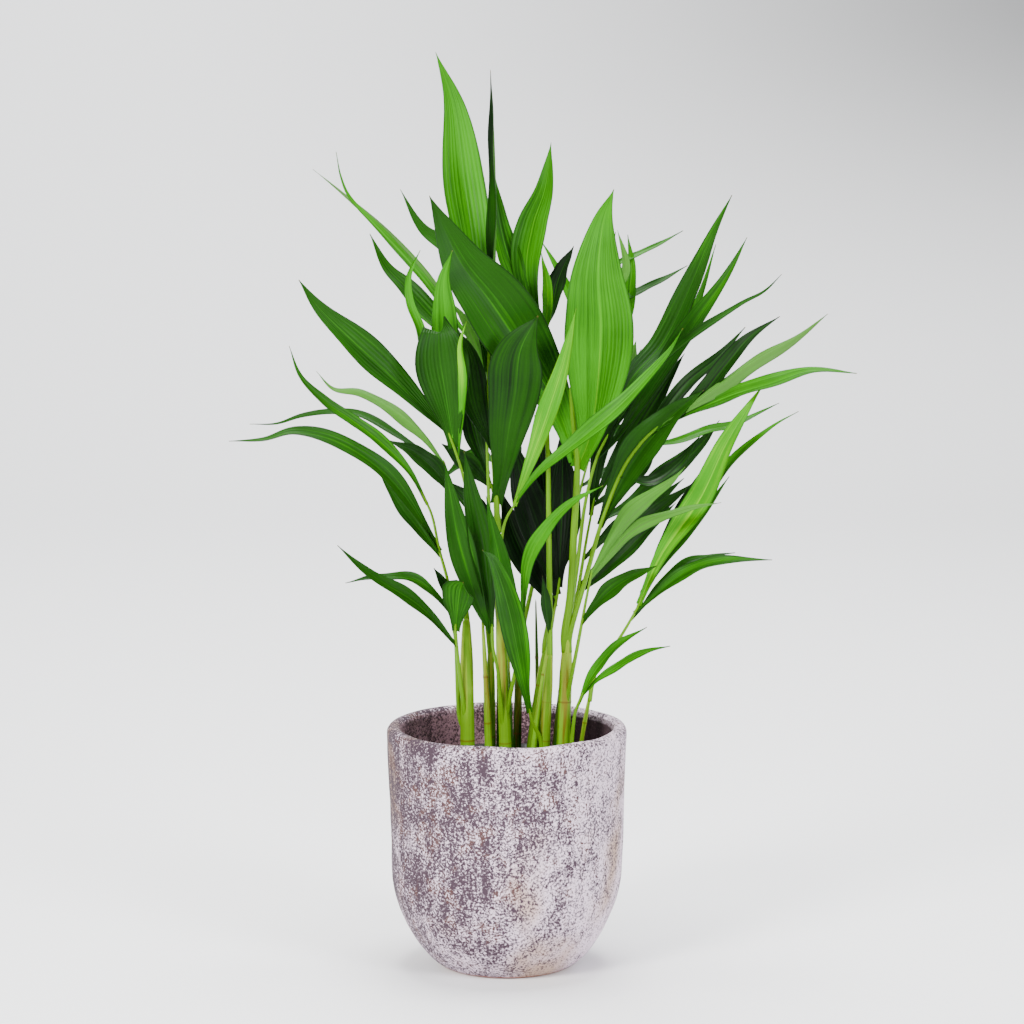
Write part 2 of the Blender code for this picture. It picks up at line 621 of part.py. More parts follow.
def tube(name, points, radii, sides_level, collection):
    """A round tube with closed ends along the points."""
    curve = bpy.data.curves.new(name, "CURVE")
    curve.dimensions = "3D"
    curve.bevel_depth = 1.0
    curve.bevel_resolution = sides_level
    curve.use_fill_caps = True
    spline = curve.splines.new("POLY")
    spline.points.add(len(points) - 1)
    for knot, point, radius in zip(spline.points, points, radii):
        knot.co = (*point, 1.0)
        knot.radius = radius
    guide = bpy.data.objects.new(name + "_guide", curve)
    collection.objects.link(guide)
    mesh = clean(evaluated_mesh(guide))
    bpy.data.objects.remove(guide, do_unlink=True)
    mesh.name = name
    return mesh


def cane_line(name):
    """The centre line of a cane from its foot in the soil to its head."""
    foot, head, _radius, _end = CANES[name]
    low = placed((foot[0] * FOOT_SPREAD, foot[1] * FOOT_SPREAD, DRAWN_SOIL))
    top = placed(head)
    bend = low + Vector((0.0, 0.0, CLEARANCE * 6))
    middle = bend.lerp(top, 0.5)
    middle.x += (top.x - low.x) * -0.08
    return [low - Vector((0.0, 0.0, ROOT_DEPTH)), bend, middle, top]


def cane_radius(name, z):
    _foot, _head, radius, end = CANES[name]
    line = cane_line(name)
    share = (z - line[1].z) / (line[-1].z - line[1].z)
    return radius + (end - radius) * min(max(share, 0.0), 1.0)


def make_cane(name, collection):
    line = cane_line(name)
    radii = [cane_radius(name, point.z) for point in line]
    mesh = tube(name, line, radii, 2, collection)
    obj = mesh_object(name, mesh, collection)
    stand_in_soil(obj)
    obj.data.materials.append(material(f"{name}_bark", CANE_GREEN, 0.5))
    return obj


def stalk_radius(cane):
    """Two stalks fit side by side in a cane's head, so a slim cane has slimmer stalks."""
    return min(STALK_BASE_RADIUS, (CANES[cane][3] - CLEARANCE) / 2)


def stalk_start(start):
    """Where a frond's stalk leaves its cane, with the clearance kept."""
    cane, how, degrees = start[:3]
    angle = math.radians(degrees)
    outward = Vector((math.cos(angle), math.sin(angle), 0.0))
    line = cane_line(cane)
    if how == "top":
        radius = cane_radius(cane, line[-1].z)
        reach = max(radius - stalk_radius(cane), 0.0)
        lean = line[-1] - line[-2]
        tilt_rise = radius * math.hypot(lean.x, lean.y) / lean.z
        return line[-1] + outward * reach + Vector((0.0, 0.0, CLEARANCE + tilt_rise))
    height = placed((0.0, 0.0, start[3])).z
    on_line = None
    for a, b in zip(line, line[1:]):
        if a.z <= height <= b.z:
            on_line = a.lerp(b, (height - a.z) / (b.z - a.z))
    reach = cane_radius(cane, height) + STALK_BASE_RADIUS * 1.15 + CLEARANCE
    return on_line + outward * reach


def stalk_line(start, points):
    """The stalk leaves its cane straight up, then follows its drawn points."""
    first = stalk_start(start)
    second = first + Vector((0.0, 0.0, STALK_BASE_RADIUS * 1.2))
    knots = [second] + [placed(point) for point in points]
    return [first] + even_points(knots, 1 + 2 * len(points))


def blade_share(s, widest):
    """Width of a blade at s along it, as a share of its greatest width."""
    if s < widest:
        rise = s / widest
        smooth = rise * rise * (3 - 2 * rise)
        return BLADE_ROOT_SHARE + (1 - BLADE_ROOT_SHARE) * smooth
    fall = (s - widest) / (1 - widest)
    return max(1 - fall**1.9, 0.0) ** 1.1


def blade_frame(points, i, tilt, side):
    """Directions across a blade and out of its face at one of its stations."""
    before = points[max(i - 1, 0)]
    after = points[min(i + 1, len(points) - 1)]
    along = (after - before).normalized()
    face = Vector((0.0, -1.0, 0.25))
    face = (face - along * face.dot(along)).normalized()
    over = along.cross(face) * side
    normal = face * math.cos(tilt) + over * math.sin(tilt)
    return along.cross(normal).normalized(), normal.normalized()


def blade_mesh(name, row):
    """A closed, slightly folded leaf blade, lofted from its root to its tip."""
    width, tilt, widest, drawn = row
    knots = [placed(point) for point in drawn]
    count = max(5, round(1.5 * (len(knots) - 1)))
    points = even_points(knots, count)
    side = 1.0 if drawn[-1][0] < drawn[0][0] else -1.0
    full = width * PLANT_SCALE
    bm = bmesh.new()
    rings = []
    for i in range(count):
        across, normal = blade_frame(points, i, math.radians(tilt), side)
        half = full * blade_share(i / count, widest) / 2
        fold = normal * (half * BLADE_FOLD)
        rise = normal * (BLADE_THICKNESS / 2)
        corners = (
            points[i] + across * half + fold,
            points[i] - fold + rise,
            points[i] - across * half + fold,
            points[i] - fold - rise,
        )
        rings.append([bm.verts.new(corner) for corner in corners])
    tip = bm.verts.new(points[-1])
    bm.faces.new(rings[0])
    for low, high in zip(rings, rings[1:]):
        for k in range(4):
            bm.faces.new((low[k], low[(k + 1) % 4], high[(k + 1) % 4], high[k]))
    for k in range(4):
        bm.faces.new((rings[-1][k], rings[-1][(k + 1) % 4], tip))
    bmesh.ops.recalc_face_normals(bm, faces=bm.faces)
    bmesh.ops.triangulate(bm, faces=bm.faces)
    mesh = bpy.data.meshes.new(name)
    bm.to_mesh(mesh)
    bm.free()
    return mesh


def make_frond(name, collection, cutters):
    start, stalk, blades = FRONDS[name]
    line = stalk_line(start, stalk)
    base = stalk_radius(start[0]) if start[1] == "top" else STALK_BASE_RADIUS
    base = max(base, STALK_END_RADIUS)
    last = len(line) - 1
    low, high = STOUT_STALKS.get(name, (base, STALK_END_RADIUS))
    radii = [low + (high - low) * i / last for i in range(last + 1)]
    radii[:2] = [base, max(base, (base + low) / 2)]
    obj = mesh_object(name, tube(name, line, radii, 1, collection), collection)
    for i, row in enumerate(blades):
        blade = mesh_object(f"{name}_blade_{i}", blade_mesh(f"{name}_blade_{i}", row), cutters)
        blade.hide_render = True
        blade.display_type = "WIRE"
        boolean(obj, blade, "UNION")
    replace_with(obj, evaluated_mesh(obj))
    stand_in_soil(obj)
    obj.data.materials.append(material(f"{name}_leaf", leaf_colour(name), 0.42))
    return obj


def leaf_colour(name):
    if name in DARK_FRONDS:
        return LEAF_DARK
    if name in BRIGHT_FRONDS:
        return LEAF_BRIGHT
    if name in PALE_FRONDS:
        return LEAF_PALE
    return LEAF_GREEN


def main():
    clear_scene()
    collection = new_collection("potted_palm")
    cutters = new_collection("cutters")
    cutters.hide_render = True
    make_pot(collection)
    make_grower_pot(collection, cutters)
    make_soil(collection, cutters)
    for name in CANES:
        make_cane(name, collection)
    for name in FRONDS:
        make_frond(name, collection, cutters)


main()
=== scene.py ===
"""Potted palm: a young areca palm in a lime-washed clay pot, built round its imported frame."""

import math

import bmesh
import bpy
from bpy.props import FloatProperty, FloatVectorProperty, IntProperty, PointerProperty
from mathutils import Matrix, Vector, noise


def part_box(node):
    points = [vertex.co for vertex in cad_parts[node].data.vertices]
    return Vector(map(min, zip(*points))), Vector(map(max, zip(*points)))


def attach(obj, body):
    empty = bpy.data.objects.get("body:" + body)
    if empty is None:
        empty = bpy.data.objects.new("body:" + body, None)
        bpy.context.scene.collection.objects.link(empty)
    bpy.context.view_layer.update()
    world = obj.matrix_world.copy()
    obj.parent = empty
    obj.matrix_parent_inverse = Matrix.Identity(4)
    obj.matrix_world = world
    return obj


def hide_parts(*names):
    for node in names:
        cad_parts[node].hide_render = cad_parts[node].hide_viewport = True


bl_info = {
    "name": "Potted Palm",
    "version": (1, 0, 0),
    "blender": (4, 5, 0),
    "location": "View3D > Sidebar > Palm",
    "description": "Models a young areca palm in a lime-washed clay pot",
    "category": "Object",
}

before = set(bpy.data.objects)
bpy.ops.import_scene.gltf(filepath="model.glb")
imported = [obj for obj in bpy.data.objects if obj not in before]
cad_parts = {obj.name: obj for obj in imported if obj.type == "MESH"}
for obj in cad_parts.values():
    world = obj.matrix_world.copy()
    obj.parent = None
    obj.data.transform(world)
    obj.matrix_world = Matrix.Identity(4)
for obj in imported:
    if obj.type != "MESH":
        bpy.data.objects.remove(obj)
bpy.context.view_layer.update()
POT_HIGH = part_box("pot")[1]
SOIL_LOW, SOIL_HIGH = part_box("potting_soil")
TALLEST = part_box("frond_tall_left")[1].z

# The plant is drawn in millimetres, with the soil and the tallest tip at these heights.
DRAWN_SOIL = 159.0
DRAWN_TIP = 724.0
PLANT_SCALE = (TALLEST - SOIL_HIGH.z) / (DRAWN_TIP - DRAWN_SOIL)

# Each cane has its foot (x, y) and its head (x, y, z) in drawn mm, its radius at the soil and
# at the head in metres, and its greenness from 0, dark, to 1, bright. The low greenness of the
# rear canes and spears is painted shade.
CANES = {
    "cane_left": ((-31, -12), (-32, -12, 283), 0.0060, 0.0048, 0.62),
    "cane_left_inner": ((-13, 10), (-13, 12, 253), 0.0040, 0.0034, 0.40),
    "cane_centre": ((-1, -4), (-6, -3, 293), 0.0050, 0.0042, 0.66),
    "cane_slim": ((17, 14), (32, 18, 261), 0.0027, 0.0026, 0.48),
    "cane_right_inner": ((29, -6), (34, -5, 253), 0.0045, 0.0036, 0.55),
    "cane_right": ((44, 2), (48, 3, 265), 0.0056, 0.0050, 0.80),
    "cane_young": ((56, -12), (67, -16, 229), 0.0018, 0.0016, 0.62),
    "cane_rear": ((8, 26), (10, 28, 256), 0.0034, 0.0030, 0.20),
    "cane_seedling": ((49, -26), (51, -27, 190), 0.0014, 0.0013, 0.60),
    "cane_rear_right": ((38, 21), (50, 25, 262), 0.0030, 0.0027, 0.22),
    "cane_dark": ((3, 11), (0, 15, 250), 0.0026, 0.0023, 0.16),
    "spear_left": ((-14, -8), (-20, -10, 296), 0.0036, 0.0010, 0.72),
    "spear_right": ((20, 2), (40, 8, 298), 0.0032, 0.0009, 0.84),
    "spear_back_right": ((25, 29), (23, 34, 290), 0.0024, 0.0009, 0.20),
    "spear_back_left": ((-6, 22), (-8, 24, 278), 0.0024, 0.0009, 0.16),
}

# Each frond has the cane it grows from, how it leaves it ("top", degrees round the head; or
# "side", degrees, height), the points of its stalk, and its blades. A blade is (width, tilt
# towards the sky in degrees, where along its length it is widest, points from root to tip).
FRONDS = {
    "frond_tall_left": (("cane_centre", "top", 120),
        [(-8, 2, 368), (-11, 5, 420), (-14, 8, 468), (-13, 10, 502)], [
        (34, 12, 0.55, [(-14, 8, 476), (-25, 22, 563), (-34, 36, 621), (-42, 46, 683), (-56, 50, 724)]),
        (22, 74, 0.50, [(-13, 9, 484), (-11, 14, 564), (-11, 12, 644), (-13, 18, 711)]),
        (20, 20, 0.35, [(-14, 9, 480), (-20, 18, 529), (-41, 26, 567), (-66, 32, 586), (-84, 38, 617)]),
        (24, 10, 0.50, [(-11, 5, 415), (-25, 6, 452), (-31, 8, 492), (-41, 12, 509)]),
        (43, 12, 0.70, [(-8, 2, 372), (-3, -10, 404), (1, -18, 434), (6, -26, 464), (10, -32, 497),
            (24, -34, 524)]),
    ]),
    "frond_tall_right": (("cane_right_inner", "top", 90),
        [(33, 4, 353), (32, 12, 419), (28, 20, 497), (26, 22, 520)], [
        (19, 15, 0.45, [(26, 22, 516), (12, 30, 539), (0, 42, 569), (-7, 52, 599), (-10, 60, 629)]),
        (26, 15, 0.45, [(26, 21, 508), (15, 34, 552), (20, 48, 588), (30, 60, 617), (35, 70, 652)]),
        (19, 35, 0.50, [(28, 20, 504), (35, 32, 526), (40, 44, 546), (53, 56, 571)]),
        (9, 20, 0.50, [(29, 19, 494), (32, 16, 537), (27, 12, 569)]),
        (9, 20, 0.50, [(34, -3, 268), (31, -12, 292), (28, -16, 317)]),
    ]),
    "frond_broad_centre": (("cane_right", "top", 205),
        [(50, -4, 300), (53, -8, 356), (55, -12, 404), (52, -14, 440), (50, -15, 468)], [
        (54, 10, 0.52, [(54, -12, 408), (42, -10, 444), (26, -8, 476), (6, -8, 507), (-13, -12, 535),
            (-33, -14, 561), (-49, -12, 591), (-60, -8, 615)]),
        (54, 8, 0.48, [(55, -12, 402), (65, -19, 431), (70, -24, 471), (72, -26, 515), (70, -24, 555),
            (74, -18, 594), (83, -8, 620)]),
    ]),
    "frond_left_front": (("cane_left_inner", "top", 225),
        [(-22, -4, 330), (-29, -14, 372), (-35, -20, 400), (-41, -26, 420), (-47, -30, 436),
        (-52, -32, 448)], [
        (26, 22, 0.50, [(-46, -29, 434), (-62, -34, 450), (-92, -42, 482), (-119, -50, 508),
            (-145, -56, 534), (-159, -58, 554)]),
        (42, 8, 0.60, [(-41, -26, 420), (-46, -38, 458), (-51, -46, 492), (-52, -44, 512),
            (-51, -37, 511), (-49, -34, 496)]),
        (21, 10, 0.55, [(-44, -28, 428), (-46, -23, 470), (-48, -23, 519), (-49, -26, 550),
            (-42, -28, 574)]),
        (8, 25, 0.60, [(-48, -30, 440), (-62, -25, 480), (-67, -20, 511), (-75, -18, 533),
            (-76, -16, 553), (-67, -14, 573)]),
        (7, 20, 0.60, [(-38, -23, 410), (-34, -42, 470), (-36, -49, 502), (-31, -48, 521)]),
    ]),
    "frond_left_back": (("cane_left_inner", "top", 45),
        [(-14, 30, 350), (-16, 44, 420), (-17, 54, 475), (-20, 58, 490)], [
        (10, 35, 0.40, [(-18, 55, 482), (-41, 70, 511), (-70, 86, 552), (-100, 100, 581),
            (-130, 112, 607), (-157, 120, 628)]),
        (8, 35, 0.40, [(-19, 57, 487), (-44, 66, 514), (-72, 80, 549), (-98, 90, 577), (-124, 98, 604),
            (-133, 100, 622), (-137, 100, 643)]),
        (18, 20, 0.45, [(-17, 54, 474), (-56, 66, 511), (-80, 76, 536), (-97, 84, 553), (-110, 90, 578)]),
        (13, 20, 0.45, [(-16, 50, 458), (-20, 42, 481), (-32, 36, 512), (-45, 34, 529)]),
    ]),
    "frond_left_low": (("cane_left", "side", 180, 205),
        [(-40, -14, 261), (-42, -16, 278), (-46, -20, 312), (-53, -24, 340), (-59, -28, 369),
        (-72, -32, 396)], [
        (11, 30, 0.45, [(-62, -29, 376), (-76, -36, 404), (-97, -42, 427), (-119, -48, 445),
            (-140, -52, 460), (-158, -55, 479), (-167, -55, 503)]),
        (18, 40, 0.40, [(-52, -23, 338), (-76, -40, 381), (-100, -52, 410), (-131, -64, 431),
            (-162, -74, 439), (-186, -80, 434), (-212, -84, 433)]),
        (12, 25, 0.45, [(-52, -23, 334), (-68, -20, 355), (-84, -16, 375), (-101, -10, 401)]),
    ]),
    "frond_left_mid": (("cane_left", "top", 90), [(-37, -2, 330), (-43, 4, 372), (-50, 10, 406)], [
        (12, 35, 0.40, [(-49, 9, 402), (-68, 16, 426), (-92, 24, 445), (-115, 30, 457), (-137, 35, 459),
            (-151, 37, 473)]),
        (7, 30, 0.40, [(-48, 8, 399), (-84, 26, 422), (-115, 38, 438), (-139, 46, 440), (-163, 52, 436),
            (-184, 56, 429), (-206, 60, 428)]),
        (17, 25, 0.45, [(-44, 5, 378), (-52, -2, 395), (-71, -6, 413), (-93, -8, 424)]),
    ]),
    "frond_left_basal": (("cane_left", "side", 240, 214),
        [(-38, -22, 248), (-40, -25, 272), (-41, -26, 298)], [
        (13, 35, 0.45, [(-39, -24, 263), (-68, -38, 298), (-96, -54, 319), (-115, -66, 335),
            (-130, -74, 351)]),
        (11, 45, 0.45, [(-40, -25, 285), (-68, -34, 316), (-100, -48, 322), (-125, -58, 319)]),
        (9, 20, 0.45, [(-41, -26, 294), (-48, -24, 310), (-57, -24, 325)]),
        (27, 10, 0.78, [(-40, -25, 275), (-39, -32, 294), (-37, -40, 311), (-34, -46, 317)]),
    ]),
    "frond_front_left": (("cane_centre", "side", 250, 206),
        [(-7, -16, 240), (-11, -19, 262), (-12, -20, 282)], [
        (21, 10, 0.50, [(-12, -19, 273), (-22, -30, 297), (-37, -42, 350), (-48, -49, 412)]),
        (21, 15, 0.50, [(-12, -20, 277), (-14, -28, 299), (-20, -36, 345), (-28, -42, 388),
            (-33, -46, 420)]),
    ]),
    "frond_front_spear": (("cane_right_inner", "side", 225, 182), [(20, -14, 200), (17, -17, 214)], [
        (21, 12, 0.45, [(18, -16, 208), (14, -28, 231), (3, -60, 294), (-9, -94, 339), (-18, -124, 355)]),
    ]),
    "frond_front_ribbon": (("cane_centre", "side", 330, 214), [(8, -14, 250), (13, -20, 288)], [
        (12, 20, 0.45, [(12, -19, 283), (16, -38, 330), (30, -58, 361), (50, -78, 385), (73, -94, 400)]),
        (16, 15, 0.50, [(9, -15, 258), (3, -33, 294), (-6, -47, 338), (-16, -52, 386)]),
    ]),
    "frond_front_forked": (("cane_centre", "top", 270),
        [(-6, -22, 328), (-2, -34, 361), (6, -42, 378), (9, -44, 386)], [
        (16, 15, 0.50, [(6, -42, 377), (26, -54, 436), (43, -60, 489), (53, -60, 532)]),
        (14, 25, 0.50, [(7, -43, 381), (26, -56, 407), (57, -68, 434), (89, -76, 463), (120, -80, 497),
            (134, -80, 519)]),
    ]),
    "frond_shaded_heart": (("cane_slim", "top", 315), [(39, 19, 290), (42, 22, 310)], [
        (30, 15, 0.50, [(40, 20, 296), (28, 25, 337), (14, 30, 380), (4, 34, 422)]),
        (28, 10, 0.50, [(41, 21, 302), (43, 28, 350), (44, 33, 400), (43, 37, 426)]),
        (24, 10, 0.50, [(38, 19, 286), (20, 30, 314), (5, 40, 344), (-4, 44, 376)]),
        (13, 20, 0.50, [(42, 23, 310), (50, 34, 336), (54, 43, 368), (53, 45, 392)]),
        (28, 10, 0.50, [(41, 22, 308), (34, 40, 350), (28, 50, 396), (22, 56, 436)]),
    ]),
    "frond_right_high": (("cane_right", "top", 85),
        [(56, 18, 322), (62, 26, 368), (71, 34, 403), (82, 42, 424)], [
        (21, 25, 0.50, [(74, 36, 408), (97, 54, 462), (124, 72, 492), (144, 86, 530), (163, 98, 573),
            (181, 106, 608)]),
        (9, 25, 0.50, [(79, 40, 418), (110, 60, 458), (138, 72, 494), (155, 78, 531), (167, 82, 570)]),
        (18, 30, 0.50, [(72, 34, 404), (90, 40, 423), (120, 48, 468), (151, 58, 514), (175, 64, 547),
            (191, 66, 577)]),
        (8, 35, 0.50, [(82, 42, 423), (115, 42, 472), (148, 42, 502), (183, 42, 525), (203, 40, 536),
            (217, 38, 550)]),
    ]),
    "frond_right_fan": (("cane_right", "top", 330),
        [(61, -6, 310), (74, -16, 359), (89, -24, 400), (104, -30, 424), (120, -35, 440)], [
        (12, 20, 0.50, [(98, -28, 416), (120, -26, 446), (140, -25, 471), (163, -23, 490), (185, -20, 514)]),
        (15, 25, 0.50, [(112, -33, 432), (144, -44, 458), (167, -52, 487), (185, -56, 509),
            (209, -58, 526)]),
        (14, 35, 0.50, [(119, -35, 439), (152, -52, 462), (187, -66, 489), (222, -76, 512),
            (244, -80, 530)]),
        (16, 40, 0.45, [(117, -34, 437), (167, -64, 465), (199, -86, 478), (230, -98, 489),
            (264, -110, 488)]),
        (8, 30, 0.45, [(102, -29, 422), (130, -18, 424), (156, -10, 432), (179, 0, 436), (214, 10, 451)]),
        (12, 25, 0.45, [(88, -24, 398), (112, -16, 393), (134, -8, 406), (152, -2, 427)]),
        (30, 25, 0.50, [(73, -15, 357), (88, -25, 392), (104, -33, 420), (126, -40, 446), (152, -48, 468)]),
        (18, 25, 0.50, [(75, -16, 362), (100, 2, 374), (128, 12, 396), (152, 18, 416), (168, 22, 436)]),
    ]),
    "frond_right_young": (("cane_young", "top", 0),
        [(74, -20, 252), (87, -28, 268), (103, -36, 298), (105, -37, 308)], [
        (20, 20, 0.50, [(103, -36, 298), (120, -48, 340), (148, -62, 385), (167, -68, 427),
            (183, -70, 455), (197, -70, 476)]),
        (9, 30, 0.50, [(102, -35, 296), (128, -39, 345), (155, -44, 387), (175, -50, 415),
            (203, -56, 440), (224, -60, 453)]),
        (9, 25, 0.50, [(104, -36, 304), (127, -32, 338), (150, -30, 366), (173, -28, 398)]),
        (12, 35, 0.45, [(99, -34, 291), (136, -56, 326), (167, -72, 339), (203, -88, 342)]),
        (8, 35, 0.45, [(96, -32, 284), (134, -27, 326), (158, -22, 334), (179, -16, 336)]),
        (16, 20, 0.50, [(105, -37, 307), (124, -43, 346), (144, -48, 386), (163, -52, 424)]),
    ]),
    "frond_right_pale": (("cane_right", "side", 300, 222),
        [(56, -13, 263), (63, -22, 304), (67, -26, 325)], [
        (16, 30, 0.50, [(66, -25, 321), (93, -50, 371), (124, -74, 399), (136, -84, 413)]),
        (12, 35, 0.45, [(65, -24, 316), (97, -54, 360), (136, -82, 380), (163, -100, 388)]),
        (15, 30, 0.50, [(59, -17, 280), (70, -30, 298), (88, -46, 317), (116, -66, 334)]),
    ]),
    "frond_shaded_right": (("cane_rear_right", "top", 60), [(57, 30, 300), (64, 42, 340), (70, 50, 370)], [
        (19, 20, 0.50, [(70, 50, 368), (90, 58, 402), (114, 64, 440), (142, 68, 484)]),
        (17, 20, 0.50, [(67, 47, 356), (74, 60, 404), (88, 72, 446), (108, 84, 486)]),
        (16, 25, 0.50, [(69, 49, 364), (92, 52, 378), (110, 56, 400), (120, 60, 434)]),
        (15, 25, 0.50, [(56, 29, 295), (78, 22, 316), (104, 20, 342), (134, 22, 370)]),
        (16, 25, 0.50, [(57, 30, 300), (84, 36, 328), (116, 40, 358), (150, 42, 384)]),
        (14, 30, 0.50, [(61, 36, 322), (82, 46, 342), (112, 56, 360), (142, 62, 384)]),
    ]),
    "frond_shaded_left": (("cane_dark", "top", 60), [(3, 27, 300), (-5, 42, 350), (-16, 54, 392)], [
        (18, 15, 0.50, [(-15, 53, 388), (-26, 58, 420), (-34, 60, 460)]),
        (18, 15, 0.50, [(-9, 46, 366), (-4, 56, 404), (-1, 60, 446), (-2, 62, 478)]),
        (16, 20, 0.50, [(-4, 40, 344), (-24, 44, 362), (-46, 42, 384)]),
        (17, 15, 0.50, [(-12, 50, 378), (-30, 50, 396), (-52, 46, 414)]),
    ]),
    "frond_seedling": (("cane_seedling", "top", 0), [(54, -29, 212), (60, -33, 228)], [
        (9, 30, 0.50, [(54, -29, 212), (66, -38, 242), (85, -54, 269), (108, -68, 286)]),
        (8, 35, 0.50, [(59, -32, 225), (73, -41, 241), (104, -60, 264), (126, -72, 272)]),
    ]),
    "frond_back_right": (("cane_rear", "top", 30),
        [(30, 54, 340), (48, 80, 410), (62, 100, 470), (74, 112, 524), (78, 116, 540)], [
        (8, 15, 0.50, [(72, 110, 514), (80, 118, 545), (88, 124, 577)]),
        (11, 20, 0.55, [(66, 104, 486), (93, 120, 497), (101, 128, 544), (98, 132, 574)]),
        (6, 35, 0.45, [(76, 114, 532), (90, 124, 551), (120, 140, 564), (144, 152, 576)]),
        (8, 35, 0.45, [(71, 109, 508), (92, 120, 522), (123, 140, 535), (148, 156, 547)]),
        (8, 20, 0.50, [(65, 103, 484), (52, 112, 524), (40, 122, 549), (28, 130, 569)]),
        (8, 15, 0.50, [(70, 108, 506), (86, 104, 530), (96, 102, 550), (89, 102, 580)]),
        (17, 15, 0.60, [(55, 90, 440), (76, 88, 446), (94, 86, 460), (104, 88, 492)]),
    ]),
    "frond_back_left": (("cane_rear", "top", 210), [(0, 62, 330), (-8, 100, 390), (-12, 130, 424)], [
        (14, 40, 0.45, [(-11, 120, 413), (-30, 140, 436), (-60, 166, 446)]),
        (15, 40, 0.45, [(-12, 128, 422), (-20, 160, 448), (-30, 192, 452)]),
        (14, 40, 0.45, [(-12, 124, 418), (0, 156, 440), (12, 186, 444)]),
        (14, 40, 0.45, [(-8, 100, 390), (-26, 120, 396), (-54, 146, 372)]),
        (14, 40, 0.45, [(-9, 106, 396), (4, 140, 404), (12, 172, 376)]),
    ]),
    "frond_back_low": (("cane_slim", "top", 135), [(46, 52, 326), (60, 86, 374), (68, 110, 398)], [
        (14, 40, 0.45, [(67, 106, 394), (92, 134, 412), (124, 166, 400)]),
        (15, 40, 0.45, [(68, 109, 397), (78, 148, 424), (90, 186, 424)]),
        (14, 40, 0.45, [(66, 104, 392), (62, 140, 420), (58, 178, 426)]),
        (14, 40, 0.45, [(60, 86, 374), (90, 106, 384), (130, 136, 362)]),
        (14, 40, 0.45, [(58, 82, 368), (50, 116, 374), (44, 154, 340)]),
    ]),
}
# Greenness of each frond's blades, from 0, almost black green, to 1, yellow-green, in the
# order of the blades above. A pair goes from the blade's root to its tip. The tones copy how
# light or dark each blade looks, so they carry painted light and shade as well as the leaves'
# own green; the near-black tones of the shaded fronds are painted shade.
TONES = {
    "frond_tall_left": ((0.44, 0.70), (0.30, 0.12), 0.48, 0.20, (0.36, 0.27)),
    "frond_tall_right": (0.50, (0.46, 0.62), (0.24, 0.04), 0.80, 0.25),
    "frond_broad_centre": ((0.72, 0.34), (0.74, 0.66)),
    "frond_left_front": ((0.26, 0.40), (0.34, 0.30), 0.60, 0.60, (0.42, 0.86)),
    "frond_left_back": (0.38, 0.62, 0.50, 0.60),
    "frond_left_low": (0.48, 0.40, 0.34),
    "frond_left_mid": (0.55, 0.40, 0.24),
    "frond_left_basal": (0.38, 0.44, 0.15, 0.44),
    "frond_front_left": (0.36, 0.28),
    "frond_front_spear": (0.50,),
    "frond_front_ribbon": (0.62, 0.40),
    "frond_front_forked": (0.86, 0.62),
    "frond_shaded_heart": (0.07, 0.05, 0.03, 0.25, 0.05),
    "frond_shaded_right": (0.20, 0.15, 0.24, 0.22, 0.16, 0.20),
    "frond_shaded_left": (0.15, 0.10, 0.18, 0.20),
    "frond_right_high": ((0.10, 0.42), (0.20, 0.55), (0.10, 0.52), (0.25, 0.40)),
    "frond_right_fan": ((0.10, 0.16), (0.20, 0.14), 0.46, (0.45, 0.62), 0.58, 0.20, (0.14, 0.34), 0.24),
    "frond_right_young": (0.86, 0.62, 0.50, 0.46, 0.42, 0.22),
    "frond_right_pale": (0.60, 0.60, 0.40),
    "frond_seedling": (0.58, 0.64),
    "frond_back_right": (0.66, 0.66, 0.50, 0.40, 0.60, 0.70, 0.60),
    "frond_back_left": (0.30, 0.36, 0.28, 0.34, 0.26),
    "frond_back_low": (0.30, 0.36, 0.28, 0.34, 0.26),
}
# Blades that are twisted over and show the side that faces away from the sky.
TURNED_OVER = {
    "frond_left_back": (0, 3),
    "frond_left_mid": (0,),
    "frond_right_fan": (2,),
    "frond_right_pale": (0, 1),
    "frond_back_right": (5, 6),
}
# Stalks that are stouter than the rest: radius low down, radius at the tip.
STOUT_STALKS = {
    "frond_tall_left": (0.0029, 0.0017),
    "frond_tall_right": (0.0025, 0.0014),
    "frond_broad_centre": (0.0034, 0.0020),
    "frond_right_fan": (0.0023, 0.0011),
    "frond_right_high": (0.0021, 0.0010),
}
# The other stalks' radii, and the width in drawn mm from which a blade has more pleats.
STALK_BASE_RADIUS = 0.0019
STALK_END_RADIUS = 0.00085
PLEATED_FROM = 20.0

# Material slots of a frond.
LEAF_TOP, LEAF_UNDER, STALK = 0, 1, 2

# The pot's own sizes, as it was turned.
POT_SHOULDER_RADIUS = 0.0915
POT_SHOULDER_HEIGHT = 0.072
POT_BASE_RADIUS = 0.050
POT_WALL = 0.0115
POT_FLOOR = 0.012
POT_BELLY_POWER = 1.5

# Radius of the soil's foot, the angle from one crumb to the next, and the crumbs' noise seed.
SOIL_FOOT_RADIUS = 0.044
GOLDEN_TURN = 2.39996
CRUMB_SEED = 7

# Points nearer than this are one point.
SEAM = 0.000004

# Fixed colours of the materials.
RED_CLAY = (0.060, 0.024, 0.022)
TERRACOTTA = (0.30, 0.085, 0.040)
INNER_BLOOM = (0.22, 0.12, 0.145)
DUST = (0.05, 0.045, 0.04)
WET_PEAT = (0.010, 0.006, 0.004)
DRY_PEAT = (0.075, 0.046, 0.026)
CREAM = (0.42, 0.46, 0.045)
CREAM_PATCH = (0.40, 0.46, 0.06)


# ------------------------------------------------------------------ settings of the maker
def colour(name, about, value):
    return FloatVectorProperty(name=name, description=about, default=value, size=3, subtype="COLOR")


def measure(name, about, value):
    return FloatProperty(name=name, description=about, default=value, subtype="DISTANCE")


def power(name, about, value):
    return FloatProperty(name=name, description=about, default=value, unit="POWER")


